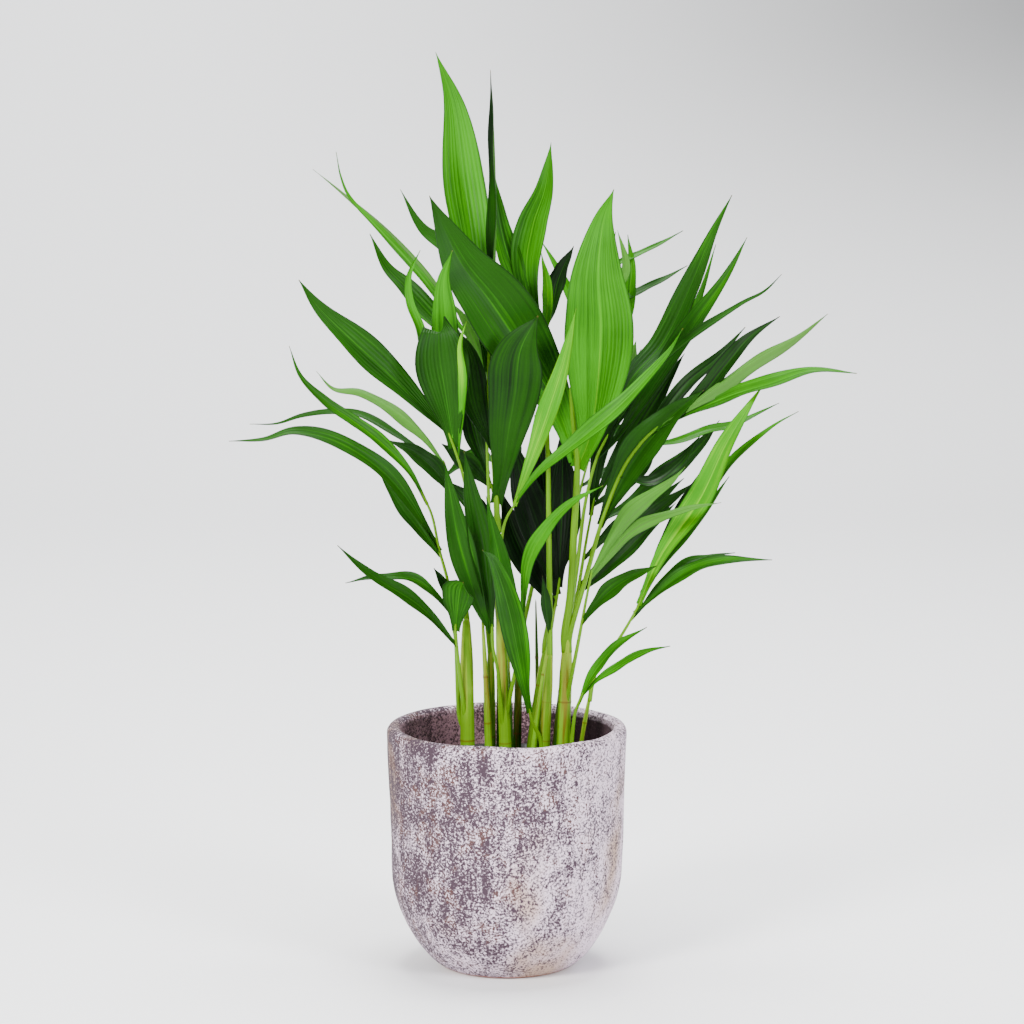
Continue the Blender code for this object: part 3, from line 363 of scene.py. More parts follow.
class PotSettings(bpy.types.PropertyGroup):
    wash: colour("Lime wash", "Colour of the pale wash", (0.66, 0.53, 0.63))
    clay: colour("Clay", "Colour of the bare clay", (0.036, 0.018, 0.030))
    warm: colour("Warm stain", "Colour of the beige stain", (0.42, 0.29, 0.23))
    # The inside colour is the dark inner clay, and also the painted shade on the right of the inner wall.
    inside: colour("Inside", "Colour of the damp inner wall", (0.022, 0.006, 0.011))
    unevenness: measure("Unevenness", "How far the hand-made wall strays", 0.0011)
    steps: IntProperty(name="Steps", description="Steps round the pot", default=160, min=24, max=256)


class GrowerSettings(bpy.types.PropertyGroup):
    plastic: colour("Plastic", "Colour of the nursery pot", (0.012, 0.012, 0.013))


class SoilSettings(bpy.types.PropertyGroup):
    peat: colour("Peat", "Colour of the moist peat", (0.030, 0.019, 0.012))
    lumps: measure("Lumps", "Height of the crumbs", 0.0022)
    crumbs: IntProperty(name="Crumbs", description="Number of loose crumbs", default=150, min=0, max=400)


class PlantSettings(bpy.types.PropertyGroup):
    deep: colour("Deep green", "Shaded old leaf", (0.0006, 0.0044, 0.0004))
    green: colour("Green", "Grown leaf", (0.0062, 0.0480, 0.0001))
    bright: colour("Bright green", "Young leaf", (0.0300, 0.2000, 0.0001))
    sprout: colour("Yellow-green", "Newest growth", (0.1350, 0.3700, 0.0004))
    pale: colour("Underside", "Pale underside", (0.0750, 0.1700, 0.0350))
    dry: colour("Dry tip", "Dry leaf tips", (0.200, 0.120, 0.030))
    cane: colour("Cane", "Green of the canes", (0.080, 0.190, 0.001))
    sheath: colour("Sheath", "Brown of old sheath edges", (0.090, 0.034, 0.006))
    thickness: measure("Thickness", "Leaf thickness", 0.00045)
    fold: FloatProperty(name="Fold", description="Keel as a share of a blade's half width", default=0.20)
    pleat: measure("Pleat", "Depth of the pleats", 0.00015)
    flutter: measure("Flutter", "Waviness of leaf edges", 0.0011)


class StageSettings(bpy.types.PropertyGroup):
    ground: colour("Ground", "Colour of the sweep", (0.86, 0.865, 0.875))
    key: power("Key", "Power of the main light", 165.0)
    fill: power("Fill", "Power of the side light", 108.0)
    top: power("Top", "Power of the overhead light", 135.0)
    backdrop: power("Backdrop", "Power of the light on the backdrop", 90.0)
    sky: FloatProperty(name="Sky", description="Strength of the room's own light", default=0.42)
    distance: FloatProperty(name="Distance", description="Camera to the palm", default=3.0, unit="LENGTH")
    elevation: FloatProperty(name="Elevation", default=math.radians(8.5), subtype="ANGLE")
    lens: FloatProperty(name="Lens", description="Focal length in millimetres", default=134.0)


# ---------------------------------------------------------------------------- materials
class Paint:
    """A new material, with short ways to add nodes to it."""

    def __init__(self, name, roughness, specular=0.5):
        self.made = bpy.data.materials.new(name)
        self.made.use_nodes = True
        self.tree = self.made.node_tree
        self.shader = self.tree.nodes["Principled BSDF"]
        self.shader.inputs["Roughness"].default_value = roughness
        self.shader.inputs["Specular IOR Level"].default_value = specular

    def node(self, kind, sockets, **settings):
        """A shader node. Each of its sockets takes a value, or a link from another's output."""
        made = self.tree.nodes.new(kind)
        for key, value in settings.items():
            setattr(made, key, value)
        for key, value in sockets.items():
            if isinstance(value, bpy.types.NodeSocket):
                self.tree.links.new(value, made.inputs[key])
            else:
                made.inputs[key].default_value = value
        return made

    def here(self):
        return self.node("ShaderNodeTexCoord", {}).outputs["Object"]

    def blade_map(self):
        """The blade map that paint_map writes."""
        return self.node("ShaderNodeUVMap", {}, uv_map="blade").outputs["UV"]

    def attribute(self, name):
        return self.node("ShaderNodeAttribute", {}, attribute_name=name).outputs["Fac"]

    def axes(self, source):
        return self.node("ShaderNodeSeparateXYZ", {"Vector": source}).outputs

    def mapped(self, source, scale, turn=(0.0, 0.0, 0.0), shift=(0.0, 0.0, 0.0)):
        sockets = {"Vector": source, "Scale": scale, "Rotation": turn, "Location": shift}
        return self.node("ShaderNodeMapping", sockets).outputs["Vector"]

    def noise(self, source, scale, detail, roughness=0.55, distortion=0.0):
        sockets = {"Vector": source, "Scale": scale, "Detail": detail}
        sockets |= {"Roughness": roughness, "Distortion": distortion}
        return self.node("ShaderNodeTexNoise", sockets).outputs["Fac"]

    def ranged(self, source, low, high, to_low=0.0, to_high=1.0):
        sockets = {"Value": source, "From Min": low, "From Max": high, "To Min": to_low, "To Max": to_high}
        return self.node("ShaderNodeMapRange", sockets, interpolation_type="SMOOTHSTEP").outputs["Result"]

    def maths(self, operation, *values):
        return self.node("ShaderNodeMath", dict(enumerate(values)), operation=operation).outputs["Value"]

    def total(self, *parts):
        """The sum of its parts, each a source or a pair of a source and its weight."""
        found = None
        for part in parts:
            value = self.maths("MULTIPLY", *part) if isinstance(part, tuple) else part
            found = value if found is None else self.maths("ADD", found, value)
        return found

    def swing(self, source):
        """A noise moved down, so that it goes either side of nothing."""
        return self.maths("SUBTRACT", source, 0.5)

    def blended(self, share, a, b):
        """Colour a going to colour b by share; each is three values or a source."""
        sockets = {0: share}
        for key, value in ((6, a), (7, b)):
            linked = isinstance(value, bpy.types.NodeSocket)
            sockets[key] = value if linked else (*value, 1.0)
        return self.node("ShaderNodeMix", sockets, data_type="RGBA").outputs[2]

    def bump(self, height, distance, strength, before=None):
        sockets = {"Height": height, "Distance": distance, "Strength": strength}
        if before is not None:
            sockets["Normal"] = before
        return self.node("ShaderNodeBump", sockets).outputs["Normal"]

    def finish(self, base, normal=None, roughness=None):
        """Joins what is given to the shader, and gives the material."""
        for key, value in (("Base Color", base), ("Normal", normal), ("Roughness", roughness)):
            if value is not None:
                self.tree.links.new(value, self.shader.inputs[key])
        return self.made


def brush_strokes(p, here):
    """Long strokes that lie one way in some patches and the other way in the rest."""
    falling = p.noise(p.mapped(here, (130.0, 130.0, 22.0), (0.0, 0.8, 0.7)), 1.0, 3.0, 0.65, 0.2)
    rising = p.noise(p.mapped(here, (120.0, 120.0, 20.0), (0.0, -0.9, 0.3)), 1.0, 3.0, 0.65, 0.2)
    choice = p.ranged(p.noise(here, 26.0, 1.0), 0.46, 0.54)
    return p.total(falling, (p.maths("SUBTRACT", rising, falling), choice))


def clay_material(s):
    """Dark clay with a brushed and stippled lime wash, bare along the foot and dark inside.
    Painted light thickens the wash towards the right flank, and painted light and shade lighten
    the inner wall on the left and darken it on the right.
    """
    p = Paint("limewashed_clay", 0.92)
    here = p.here()
    patch = p.noise(here, 22.0, 4.0, 0.55, 0.8)
    blots = p.noise(p.mapped(here, (1.0, 1.0, 1.0), shift=(0.4, 0.1, 0.7)), 58.0, 3.0, 0.6, 0.5)
    grain = p.noise(here, 560.0, 2.0, 0.65)
    fine = p.noise(here, 1500.0, 1.0, 0.5)
    warm = p.noise(here, 9.0, 3.0, 0.5, 0.4)
    side, _depth, height = p.axes(here)
    # Painted light: less wash on the left flank and more on the right, so the pot's right side reads
    # lighter.
    side_light = p.ranged(side, -0.10, 0.10, -0.08, 0.12)
    low = p.ranged(height, 0.0, 0.07, 0.10, 0.0)
    cover = p.total((patch, 0.34), (blots, 0.26), (brush_strokes(p, here), 0.56), side_light, low)
    speckled = p.total(cover, (grain, 1.30), (fine, 0.60))
    wash = p.blended(p.ranged(warm, 0.50, 0.66), s.wash, s.warm)
    bare = p.blended(p.ranged(blots, 0.52, 0.62), s.clay, RED_CLAY)
    base = p.blended(p.ranged(speckled, 1.48, 1.74), bare, wash)
    foot = p.ranged(p.total(height, (patch, 0.004)), 0.0028, 0.0050, 0.85, 0.0)
    base = p.blended(foot, base, TERRACOTTA)
    inner = p.ranged(p.total(p.attribute("inside"), (grain, 0.3)), 0.35, 0.95)
    # Painted light and shade: the inner mottle is lifted on the left and sunk on the right, as if lit from
    # the right.
    mottled_shaded = p.total(speckled, p.ranged(side, -0.06, 0.08, 0.22, -0.30))
    mottled = p.blended(p.ranged(mottled_shaded, 1.50, 1.80), s.inside, INNER_BLOOM)
    base = p.blended(inner, base, mottled)
    grit = p.bump(grain, 0.0007, 0.8)
    return p.finish(base, p.bump(cover, 0.0014, 0.7, grit))


def plastic_material(s):
    """Black plastic with a little dust."""
    p = Paint("nursery_plastic", 0.45)
    dust = p.noise(p.here(), 60.0, 5.0, 0.6)
    base = p.blended(p.ranged(dust, 0.5, 0.8), s.plastic, DUST)
    return p.finish(base, p.bump(dust, 0.0002, 0.4))


def soil_material(s):
    """Dark moist peat with drier patches."""
    p = Paint("moist_peat", 0.95)
    here = p.here()
    crumb = p.noise(here, 260.0, 6.0, 0.7)
    patch = p.noise(here, 45.0, 4.0, 0.6)
    dark = p.blended(p.ranged(crumb, 0.35, 0.7), WET_PEAT, s.peat)
    base = p.blended(p.ranged(patch, 0.52, 0.75), dark, DRY_PEAT)
    return p.finish(base, p.bump(crumb, 0.0012, 0.9))


def leaf_colour(p, s, tone):
    """Deep green to yellow-green along the tone."""
    base = p.blended(p.ranged(tone, 0.0, 0.40), s.deep, s.green)
    base = p.blended(p.ranged(tone, 0.40, 0.78), base, s.bright)
    return p.blended(p.ranged(tone, 0.78, 1.05), base, s.sprout)


def leaf_material(s, under):
    """One side of a blade: streaks and veins along it, a lighter rib and a darker edge."""
    p = Paint("leaf_underside" if under else "leaf_face", 0.5, 0.09)
    uv = p.blade_map()
    mid = p.attribute("mid")
    streak = p.noise(p.mapped(uv, (3.4, 0.09, 1.0)), 1.0, 3.0, 0.65)
    broad = p.noise(p.mapped(uv, (0.70, 0.05, 1.0)), 1.0, 2.0, 0.5)
    cloud = p.noise(p.here(), 14.0, 3.0, 0.5)
    veins = p.maths("SINE", p.maths("MULTIPLY", p.axes(uv)["X"], math.tau))
    # The tone attribute brings the blade tones, with their painted light and shade.
    shade = p.total(p.attribute("tone"), (p.swing(streak), 0.50), (p.swing(broad), 0.46))
    shade = p.total(shade, (p.swing(cloud), 0.42), (veins, 0.022), p.ranged(mid, 0.0, 0.06, 0.16, 0.0))
    base = leaf_colour(p, s, shade)
    if under:
        lines = p.ranged(p.total(streak, (veins, 0.08)), 0.25, 0.85, 0.0, 0.6)
        base = p.blended(0.60, base, p.blended(lines, s.pale, s.bright))
    base = p.blended(p.ranged(mid, 0.90, 1.0, 0.0, 0.55), base, s.deep)
    tip = p.ranged(p.total(p.attribute("along"), (streak, 0.03)), 1.002, 1.02, 0.0, 0.6)
    base = p.blended(tip, base, s.dry)
    gloss = p.ranged(streak, 0.3, 0.8, *((0.46, 0.60) if under else (0.40, 0.56)))
    relief = p.total(streak, (veins, 0.35))
    return p.finish(base, p.bump(relief, 0.00022, 0.7), gloss)


def stalk_material(s):
    """Yellow-green leaf stalks with fine long streaks."""
    p = Paint("leaf_stalk", 0.45, 0.12)
    streak = p.noise(p.mapped(p.blade_map(), (6.0, 0.25, 1.0)), 1.0, 3.0, 0.6)
    young = p.blended(p.ranged(streak, 0.42, 0.90), s.cane, s.sprout)
    old = p.blended(p.ranged(streak, 0.35, 0.70), s.green, s.bright)
    base = p.blended(p.attribute("tone"), old, young)
    base = p.blended(p.ranged(p.attribute("along"), 0.93, 1.0, 0.0, 0.4), base, s.bright)
    return p.finish(base, p.bump(streak, 0.0002, 0.6))


def cane_material(s):
    """Green canes with brown sheath lines, a cream fold near the head and ring scars."""
    p = Paint("cane_skin", 0.45, 0.12)
    uv = p.blade_map()
    here = p.here()
    streak = p.noise(p.mapped(uv, (5.0, 0.16, 1.0)), 1.0, 4.0, 0.65)
    band = p.noise(p.mapped(uv, (1.2, 0.10, 1.0)), 1.0, 2.0, 0.5)
    patch = p.noise(here, 26.0, 4.0, 0.6)
    speck = p.noise(p.mapped(here, (420.0, 420.0, 260.0)), 1.0, 1.0, 0.5)
    # The tone attribute brings the cane greenness, with the painted shade of the rear canes.
    shade = p.total(p.attribute("tone"), (p.swing(streak), 0.7))
    base = p.blended(p.ranged(shade, 0.1, 0.55), s.green, s.cane)
    base = p.blended(p.ranged(shade, 0.55, 1.1), base, s.sprout)
    brown = p.ranged(p.total(band, (streak, 0.35)), 0.74, 0.86)
    base = p.blended(p.maths("MULTIPLY", brown, 0.85), base, s.sheath)
    fold = p.ranged(p.maths("SUBTRACT", band, p.maths("MULTIPLY", streak, 0.2)), 0.36, 0.46)
    cream = p.maths("MULTIPLY", fold, p.ranged(p.attribute("along"), 0.25, 0.80, 0.0, 0.32))
    base = p.blended(cream, base, CREAM)
    base = p.blended(p.ranged(p.attribute("mid"), 0.3, 1.0, 0.0, 0.75), base, s.sheath)
    base = p.blended(p.ranged(patch, 0.60, 0.75, 0.0, 0.12), base, CREAM_PATCH)
    base = p.blended(p.ranged(speck, 0.72, 0.80, 0.0, 0.6), base, s.sheath)
    return p.finish(base, p.bump(streak, 0.0004, 0.7))


def sweep_material(s):
    """Pale sweep, with painted shade that darkens it up the backdrop, most towards the top right."""
    p = Paint("studio_sweep", 0.85)
    side, _depth, height = p.axes(p.here())
    slope = p.maths("POWER", p.ranged(side, -1.3, 1.2), 1.5)
    shade = p.maths("MULTIPLY", p.ranged(height, 0.0, 0.75), p.maths("MULTIPLY_ADD", slope, 0.80, 0.04))
    return p.finish(p.blended(shade, s.ground, [c * 0.10 for c in s.ground]))


# ------------------------------------------------------------------------ shape shorthand
def placed(point):
    """A drawn point in millimetres, put above the soil at the plant's own size."""
    x, y, z = point
    return Vector((x * PLANT_SCALE, y * PLANT_SCALE, SOIL_HIGH.z + (z - DRAWN_SOIL) * PLANT_SCALE))


def spline_point(points, t):
    """A smooth curve through the points, with t from 0 to 1."""
    last = len(points) - 1
    at = min(max(t, 0.0), 1.0) * last
    i = min(int(at), last - 1)
    u = at - i
    p1 = points[i]
    p2 = points[i + 1]
    p0 = points[i - 1] if i > 0 else p1 * 2 - p2
    p3 = points[i + 2] if i + 2 <= last else p2 * 2 - p1
    a = p1 * 2
    b = p2 - p0
    c = p0 * 2 - p1 * 5 + p2 * 4 - p3
    d = p1 * 3 - p0 - p2 * 3 + p3
    return (a + b * u + c * u * u + d * u * u * u) * 0.5


def even_points(points, count):
    """Points at even distances along the smooth curve, and the curve's length."""
    fine = [spline_point(points, i / 240) for i in range(241)]
    run = [0.0]
    for a, b in zip(fine, fine[1:]):
        run.append(run[-1] + (b - a).length)
    out = []
    j = 0
    for i in range(count + 1):
        want = run[-1] * i / count
        while j < 239 and run[j + 1] < want:
            j += 1
        share = (want - run[j]) / max(run[j + 1] - run[j], 1e-9)
        out.append(fine[j].lerp(fine[j + 1], min(max(share, 0.0), 1.0)))
    return out, run[-1]


def layers_of(bm):
    """The blade map and the values that the plant's materials read."""
    uv = bm.loops.layers.uv.get("blade") or bm.loops.layers.uv.new("blade")
    floats = bm.verts.layers.float
    named = {key: floats.get(key) or floats.new(key) for key in ("tone", "mid", "along")}
    return uv, named


def grid_sheet(bm, across, along):
    """A flat grid, as its vertices by (u, v), each from 0 to 1, and its faces."""
    made = bmesh.ops.create_grid(bm, x_segments=across, y_segments=along, size=0.5)
    spots = {vert: (vert.co.x + 0.5, vert.co.y + 0.5) for vert in made["verts"]}
    faces = list(dict.fromkeys(face for vert in made["verts"] for face in vert.link_faces))
    return spots, faces


def paint_map(faces, spots, uv, veins, length, shift):
    """Writes the blade map: veins across the sheet, and hundredths of a metre along it."""
    for face in faces:
        face.smooth = True
        for loop in face.loops:
            u, v = spots[loop.vert]
            loop[uv].uv = (u * veins + shift, v * length * 100.0 + shift * 3.0)


def tube_rings(points):
    """Directions across the tube at each point, carried along so that it doesn't twist."""
    frames = []
    side = None
    for i in range(len(points)):
        along = (points[min(i + 1, len(points) - 1)] - points[max(i - 1, 0)]).normalized()
        if side is None:
            side = along.cross(Vector((0.0, 1.0, 0.0))).normalized()
        side = (side - along * side.dot(along)).normalized()
        frames.append((side, along.cross(side)))
    return frames


def add_tube(bm, points, radius_at, sides, tone, length, shift, ring_at=None, material=STALK):
    """A closed tube along the points, rolled up from a grid. radius_at(u, v) gives its radius."""
    uv, named = layers_of(bm)
    rows = len(points) - 1
    frames = tube_rings(points)
    spots, faces = grid_sheet(bm, sides, rows)
    paint_map(faces, spots, uv, 4.0, length, shift)
    ends = {0: [], rows: []}
    for vert, (u, v) in spots.items():
        i = round(v * rows)
        side, up = frames[i]
        angle = 2 * math.pi * u
        out = side * math.cos(angle) + up * math.sin(angle)
        vert.co = points[i] + out * radius_at(u, v)
        vert[named["tone"]] = tone
        vert[named["along"]] = v
        vert[named["mid"]] = ring_at(u, v) if ring_at else 0.0
        if i in ends:
            ends[i].append(vert)
    for face in faces:
        face.material_index = material
    bmesh.ops.remove_doubles(bm, verts=list(spots), dist=SEAM)
    rims = [e for f in faces if f.is_valid for e in f.edges if len(e.link_faces) == 1]
    caps = bmesh.ops.holes_fill(bm, edges=list(dict.fromkeys(rims)), sides=0)["faces"]
    for face in caps:
        face.material_index = material
        face.smooth = True
    bmesh.ops.recalc_face_normals(bm, faces=[f for f in faces if f.is_valid] + caps)


def linked(name, data):
    """The data as an object in the scene."""
    made = bpy.data.objects.new(name, data)
    bpy.context.scene.collection.objects.link(made)
    return made


def mesh_object(name, bm, materials):
    """The finished mesh as an object in the scene."""
    mesh = bpy.data.meshes.new(name)
    bm.to_mesh(mesh)
    bm.free()
    for item in materials:
        mesh.materials.append(item)
    return linked(name, mesh)


def aimed(name, data, at, target):
    """A light or a camera that stands at one point and looks at another."""
    made = linked(name, data)
    made.location = at
    made.rotation_euler = (Vector(target) - Vector(at)).to_track_quat("-Z", "Y").to_euler()
    return made


def finish_piece(name, bm, materials, node):
    """The finished piece on the root body, in place of its node."""
    piece = mesh_object(name, bm, materials)
    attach(piece, "root")
    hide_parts(node)


def turned(profile, steps, mark=None):
    """A body turned about Z from (radius, height, mark) points that start and end on the axis."""
    bm = bmesh.new()
    layer = bm.verts.layers.float.new(mark) if mark else None
    verts = [bm.verts.new((spot[0], 0.0, spot[1])) for spot in profile]
    if mark:
        for vert, spot in zip(verts, profile):
            vert[layer] = spot[2]
    edges = [bm.edges.new(pair) for pair in zip(verts, verts[1:])]
    bmesh.ops.spin(
        bm,
        geom=verts + edges,
        cent=(0.0, 0.0, 0.0),
        axis=(0.0, 0.0, 1.0),
        angle=2 * math.pi,
        steps=steps,
        use_merge=True,
    )
    bmesh.ops.remove_doubles(bm, verts=bm.verts, dist=SEAM)
    bmesh.ops.recalc_face_normals(bm, faces=bm.faces)
    for face in bm.faces:
        face.smooth = True
    return bm


# ----------------------------------------------------------------------------- the holder
def arc(centre, radius, first, last, count):
    """Points round part of a circle, with the angles in degrees."""
    out = []
    for i in range(count + 1):
        angle = math.radians(first + (last - first) * i / count)
        out.append((centre[0] + radius * math.cos(angle), centre[1] + radius * math.sin(angle)))
    return out


def belly(base, shoulder, foot_z, shoulder_z, power, count):
    """Points up the rounded foot, from its flat to its shoulder."""
    out = []
    for i in range(count + 1):
        angle = math.pi / 2 * i / count
        r = base + (shoulder - base) * math.sin(angle) ** (2 / power)
        z = shoulder_z - (shoulder_z - foot_z) * max(math.cos(angle), 0.0) ** (2 / power)
        out.append((r, z))
    return out


def spaced(points, step):
    """The same outline with its long runs divided."""
    out = [points[0]]
    for a, b in zip(points, points[1:]):
        parts = max(1, math.ceil(math.dist(a[:2], b[:2]) / step))
        out += [tuple(p + (q - p) * i / parts for p, q in zip(a, b)) for i in range(1, parts + 1)]
    return out


class PALM_OT_pot(bpy.types.Operator):
    """Clay cover pot, turned and then made uneven as by hand"""

    bl_idname = "palm.pot"
    bl_label = "Clay pot"

    def execute(self, context):
        s = context.scene.palm_pot
        rim = POT_HIGH.x
        top = POT_HIGH.z
        half = POT_WALL / 2
        outer = belly(POT_BASE_RADIUS, POT_SHOULDER_RADIUS, 0.0, POT_SHOULDER_HEIGHT, POT_BELLY_POWER, 26)
        floor_radius = POT_BASE_RADIUS - POT_WALL * 0.3
        shoulder = POT_SHOULDER_RADIUS - POT_WALL
        inner = belly(floor_radius, shoulder, POT_FLOOR, POT_SHOULDER_HEIGHT, POT_BELLY_POWER, 14)
        lip = arc((rim - half, top - half), half, 0, 180, 16)
        mouth = rim - POT_WALL
        outline = [(r, z, 0.0) for r, z in [(0.0, 0.0)] + outer + lip[:13]]
        outline += [(r, z, 0.55) for r, z in lip[13:]] + [(mouth, top - 0.0085, 1.0)]
        outline += [(r, z, 1.0) for r, z in inner[::-1] + [(0.0, POT_FLOOR)]]
        bm = turned(spaced(outline, 0.0035), s.steps, "inside")
        for vert in bm.verts:
            self.roughen(vert, s.unevenness, top, rim)
        bmesh.ops.recalc_face_normals(bm, faces=bm.faces)
        finish_piece("clay_pot", bm, [clay_material(s)], "pot")
        return {"FINISHED"}

    @staticmethod
    def roughen(vert, amount, top, rim):
        """Slow waves and small dents, fading to nothing at the flat foot."""
        co = vert.co
        free = min(max((co.z - 0.002) / 0.02, 0.0), 1.0)
        out = Vector((co.x, co.y, 0.0))
        if out.length < 0.02:
            return
        out.normalize()
        slow = noise.noise(co * 14.0) * 0.9
        dent = noise.noise(co * 55.0 + Vector((3.0, 7.0, 1.0))) * 0.30
        fine = noise.noise(co * 190.0 + Vector((9.0, 2.0, 5.0))) * 0.13
        vert.co += out * (slow + dent + fine) * amount * free
        if co.z > top - 0.02:
            vert.co.z += (noise.noise(out * 2.2) * 1.1 - 0.25) * amount


class PALM_OT_grower_pot(bpy.types.Operator):
    """Thin nursery pot inside the clay pot"""

    bl_idname = "palm.grower_pot"
    bl_label = "Nursery pot"

    def execute(self, context):
        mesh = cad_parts["grower_pot"].data
        mesh.materials.clear()
        mesh.materials.append(plastic_material(context.scene.palm_grower))
        return {"FINISHED"}


class PALM_OT_soil(bpy.types.Operator):
    """Crumbly potting soil, with loose crumbs lying on it"""

    bl_idname = "palm.soil"
    bl_label = "Potting soil"

    def execute(self, context):
        s = context.scene.palm_soil
        top = SOIL_HIGH.z
        edge = SOIL_HIGH.x
        outline = [(0.0, SOIL_LOW.z), (SOIL_FOOT_RADIUS, SOIL_LOW.z), (edge - 0.0005, top - 0.004)]
        outline += [(edge - 0.003, top - 0.0018), (edge * 0.7, top - 0.001), (0.0, top - 0.001)]
        bm = turned(spaced(outline, 0.0022), 110)
        for vert in bm.verts:
            if vert.co.z > top - 0.006 and math.hypot(vert.co.x, vert.co.y) < edge - 0.002:
                rise = noise.fractal(vert.co * 110.0, 0.9, 2.2, 4)
                vert.co.z += (rise * 0.5 - 0.25) * s.lumps
        self.scatter(bm, s, top, edge)
        finish_piece("potting_soil_crumbly", bm, [soil_material(s)], "potting_soil")
        return {"FINISHED"}

    @staticmethod
    def scatter(bm, s, top, edge):
        """Small bark and peat crumbs, laid round the soil by a fixed spiral."""
        # Vector noise goes by the clock until its seed is set.
        noise.seed_set(CRUMB_SEED)
        for i in range(s.crumbs):
            reach = (edge - 0.004) * math.sqrt((i + 0.5) / s.crumbs)
            angle = i * GOLDEN_TURN
            size = 0.0009 + 0.0014 * (0.5 + 0.5 * math.sin(i * 12.9898))
            at = Vector((reach * math.cos(angle), reach * math.sin(angle), top - 0.0007))
            turn = Matrix.Rotation(i * 1.7, 4, Vector((math.sin(i), math.cos(i), 0.6)).normalized())
            flat = Matrix.Diagonal((1.5, 1.0, 0.7, 1.0))
            made = bmesh.ops.create_icosphere(
                bm, subdivisions=1, radius=size, matrix=Matrix.Translation(at) @ turn @ flat
            )
            for vert in made["verts"]:
                vert.co += noise.noise_vector(vert.co * 700.0) * size * 0.35


# ------------------------------------------------------------------------------ the canes
def cane_line(name):
    """The centre line of a cane from its foot in the soil to its head."""
    foot, head = CANES[name][:2]
    low = placed((foot[0], foot[1], DRAWN_SOIL))
    top = placed(head)
    bend = low + Vector((0.0, 0.0, 0.002))
    middle = bend.lerp(top, 0.5)
    middle.x += (top.x - low.x) * -0.08
    return [low - Vector((0.0, 0.0, CANE_DEPTH)), bend, middle, top]


def cane_at(name, height):
    """A cane's centre and radius at a height."""
    radius, end = CANES[name][2:4]
    line = cane_line(name)
    share = min(max((height - line[1].z) / (line[-1].z - line[1].z), 0.0), 1.0)
    for a, b in zip(line, line[1:]):
        if a.z <= height <= b.z:
            return a.lerp(b, (height - a.z) / (b.z - a.z)), radius + (end - radius) * share
    return line[-1], end


class PALM_OT_canes(bpy.types.Operator):
    """Canes wrapped in leaf sheaths, with ring scars"""

    bl_idname = "palm.canes"
    bl_label = "Canes"

    def execute(self, context):
        paint = cane_material(context.scene.palm_plant)
        for i, name in enumerate(CANES):
            self.make(name, i, paint)
        return {"FINISHED"}

    @staticmethod
    def make(name, i, paint):
        bm = bmesh.new()
        points, length = even_points(cane_line(name), 64)
        low, high, tone = CANES[name][2:]
        phase = i * 1.9
        scars = [0.28 + 0.07 * math.sin(phase), 0.62 + 0.06 * math.cos(phase)]

        def ring(_u, v):
            return max(math.exp(-(((v - scar) * length / 0.0009) ** 2)) for scar in scars)

        def radius(u, v):
            base = low + (high - low) * v
            swell = 1.0 + 0.10 * math.exp(-((v - 0.10) ** 2) / 0.004)
            ridge = 1.0 + 0.018 * math.sin(2 * math.pi * (u * 5 + v * 0.6) + phase)
            lap = 0.985 if (u + v * 0.2 + phase) % 1.0 < 0.08 else 1.0
            slim = 1.0 - 0.42 * max((v - 0.72) / 0.28, 0.0) ** 1.6
            top = 1.0 if v < 0.975 else math.sqrt(max(1.0 - ((v - 0.975) / 0.026) ** 2, 0.05))
            return base * swell * ridge * lap * slim * top + ring(u, v) * 0.00025

        add_tube(bm, points, radius, 28, tone, length, i * 2.37, ring, material=0)
        finish_piece(name + "_wrapped", bm, [paint], name)


# ----------------------------------------------------------------------------- the fronds
def blade_share(s, widest):
    """Width of a blade at s along it, as a share of its greatest width."""
    if s < widest:
        rise = s / widest
        smooth = rise * rise * (3 - 2 * rise)
        return 0.22 + 0.78 * smooth
    fall = (s - widest) / (1 - widest)
    return max(1 - fall**1.75, 0.0) ** 1.25


def blade_frame(points, i, tilt, side):
    """Directions across a blade and out of its face at one of its stations."""
    before = points[max(i - 1, 0)]
    after = points[min(i + 1, len(points) - 1)]
    along = (after - before).normalized()
    face = Vector((0.0, -1.0, 0.25))
    face = (face - along * face.dot(along)).normalized()
    over = along.cross(face) * side
    normal = face * math.cos(tilt) + over * math.sin(tilt)
    return along.cross(normal).normalized(), normal.normalized()


def blade_frames(points, tilt, side):
    """The directions at every station, kept the same way round where a blade folds back."""
    frames = [blade_frame(points, 0, tilt, side)]
    for i in range(1, len(points)):
        across, normal = blade_frame(points, i, tilt, side)
        if across.dot(frames[-1][0]) < 0.0:
            across, normal = -across, -normal
        frames.append((across, normal))
    return frames


# A blade's rows lie this far apart, between these counts; a pleat has this width in drawn mm.
ROW_STEP, FEWEST_ROWS, MOST_ROWS = 0.0032, 14, 72
PLEAT_WIDTH, FEWEST_PLEATS = 3.0, 3
# A blade is nowhere narrower than the first; under the second, its waves and pleats are less.
LEAST_HALF_WIDTH, FULL_HALF_WIDTH = 0.00012, 0.006
# How far a cane goes into the soil, and a stalk down inside its cane.
CANE_DEPTH = 0.012
STALK_OVERLAP = 0.012


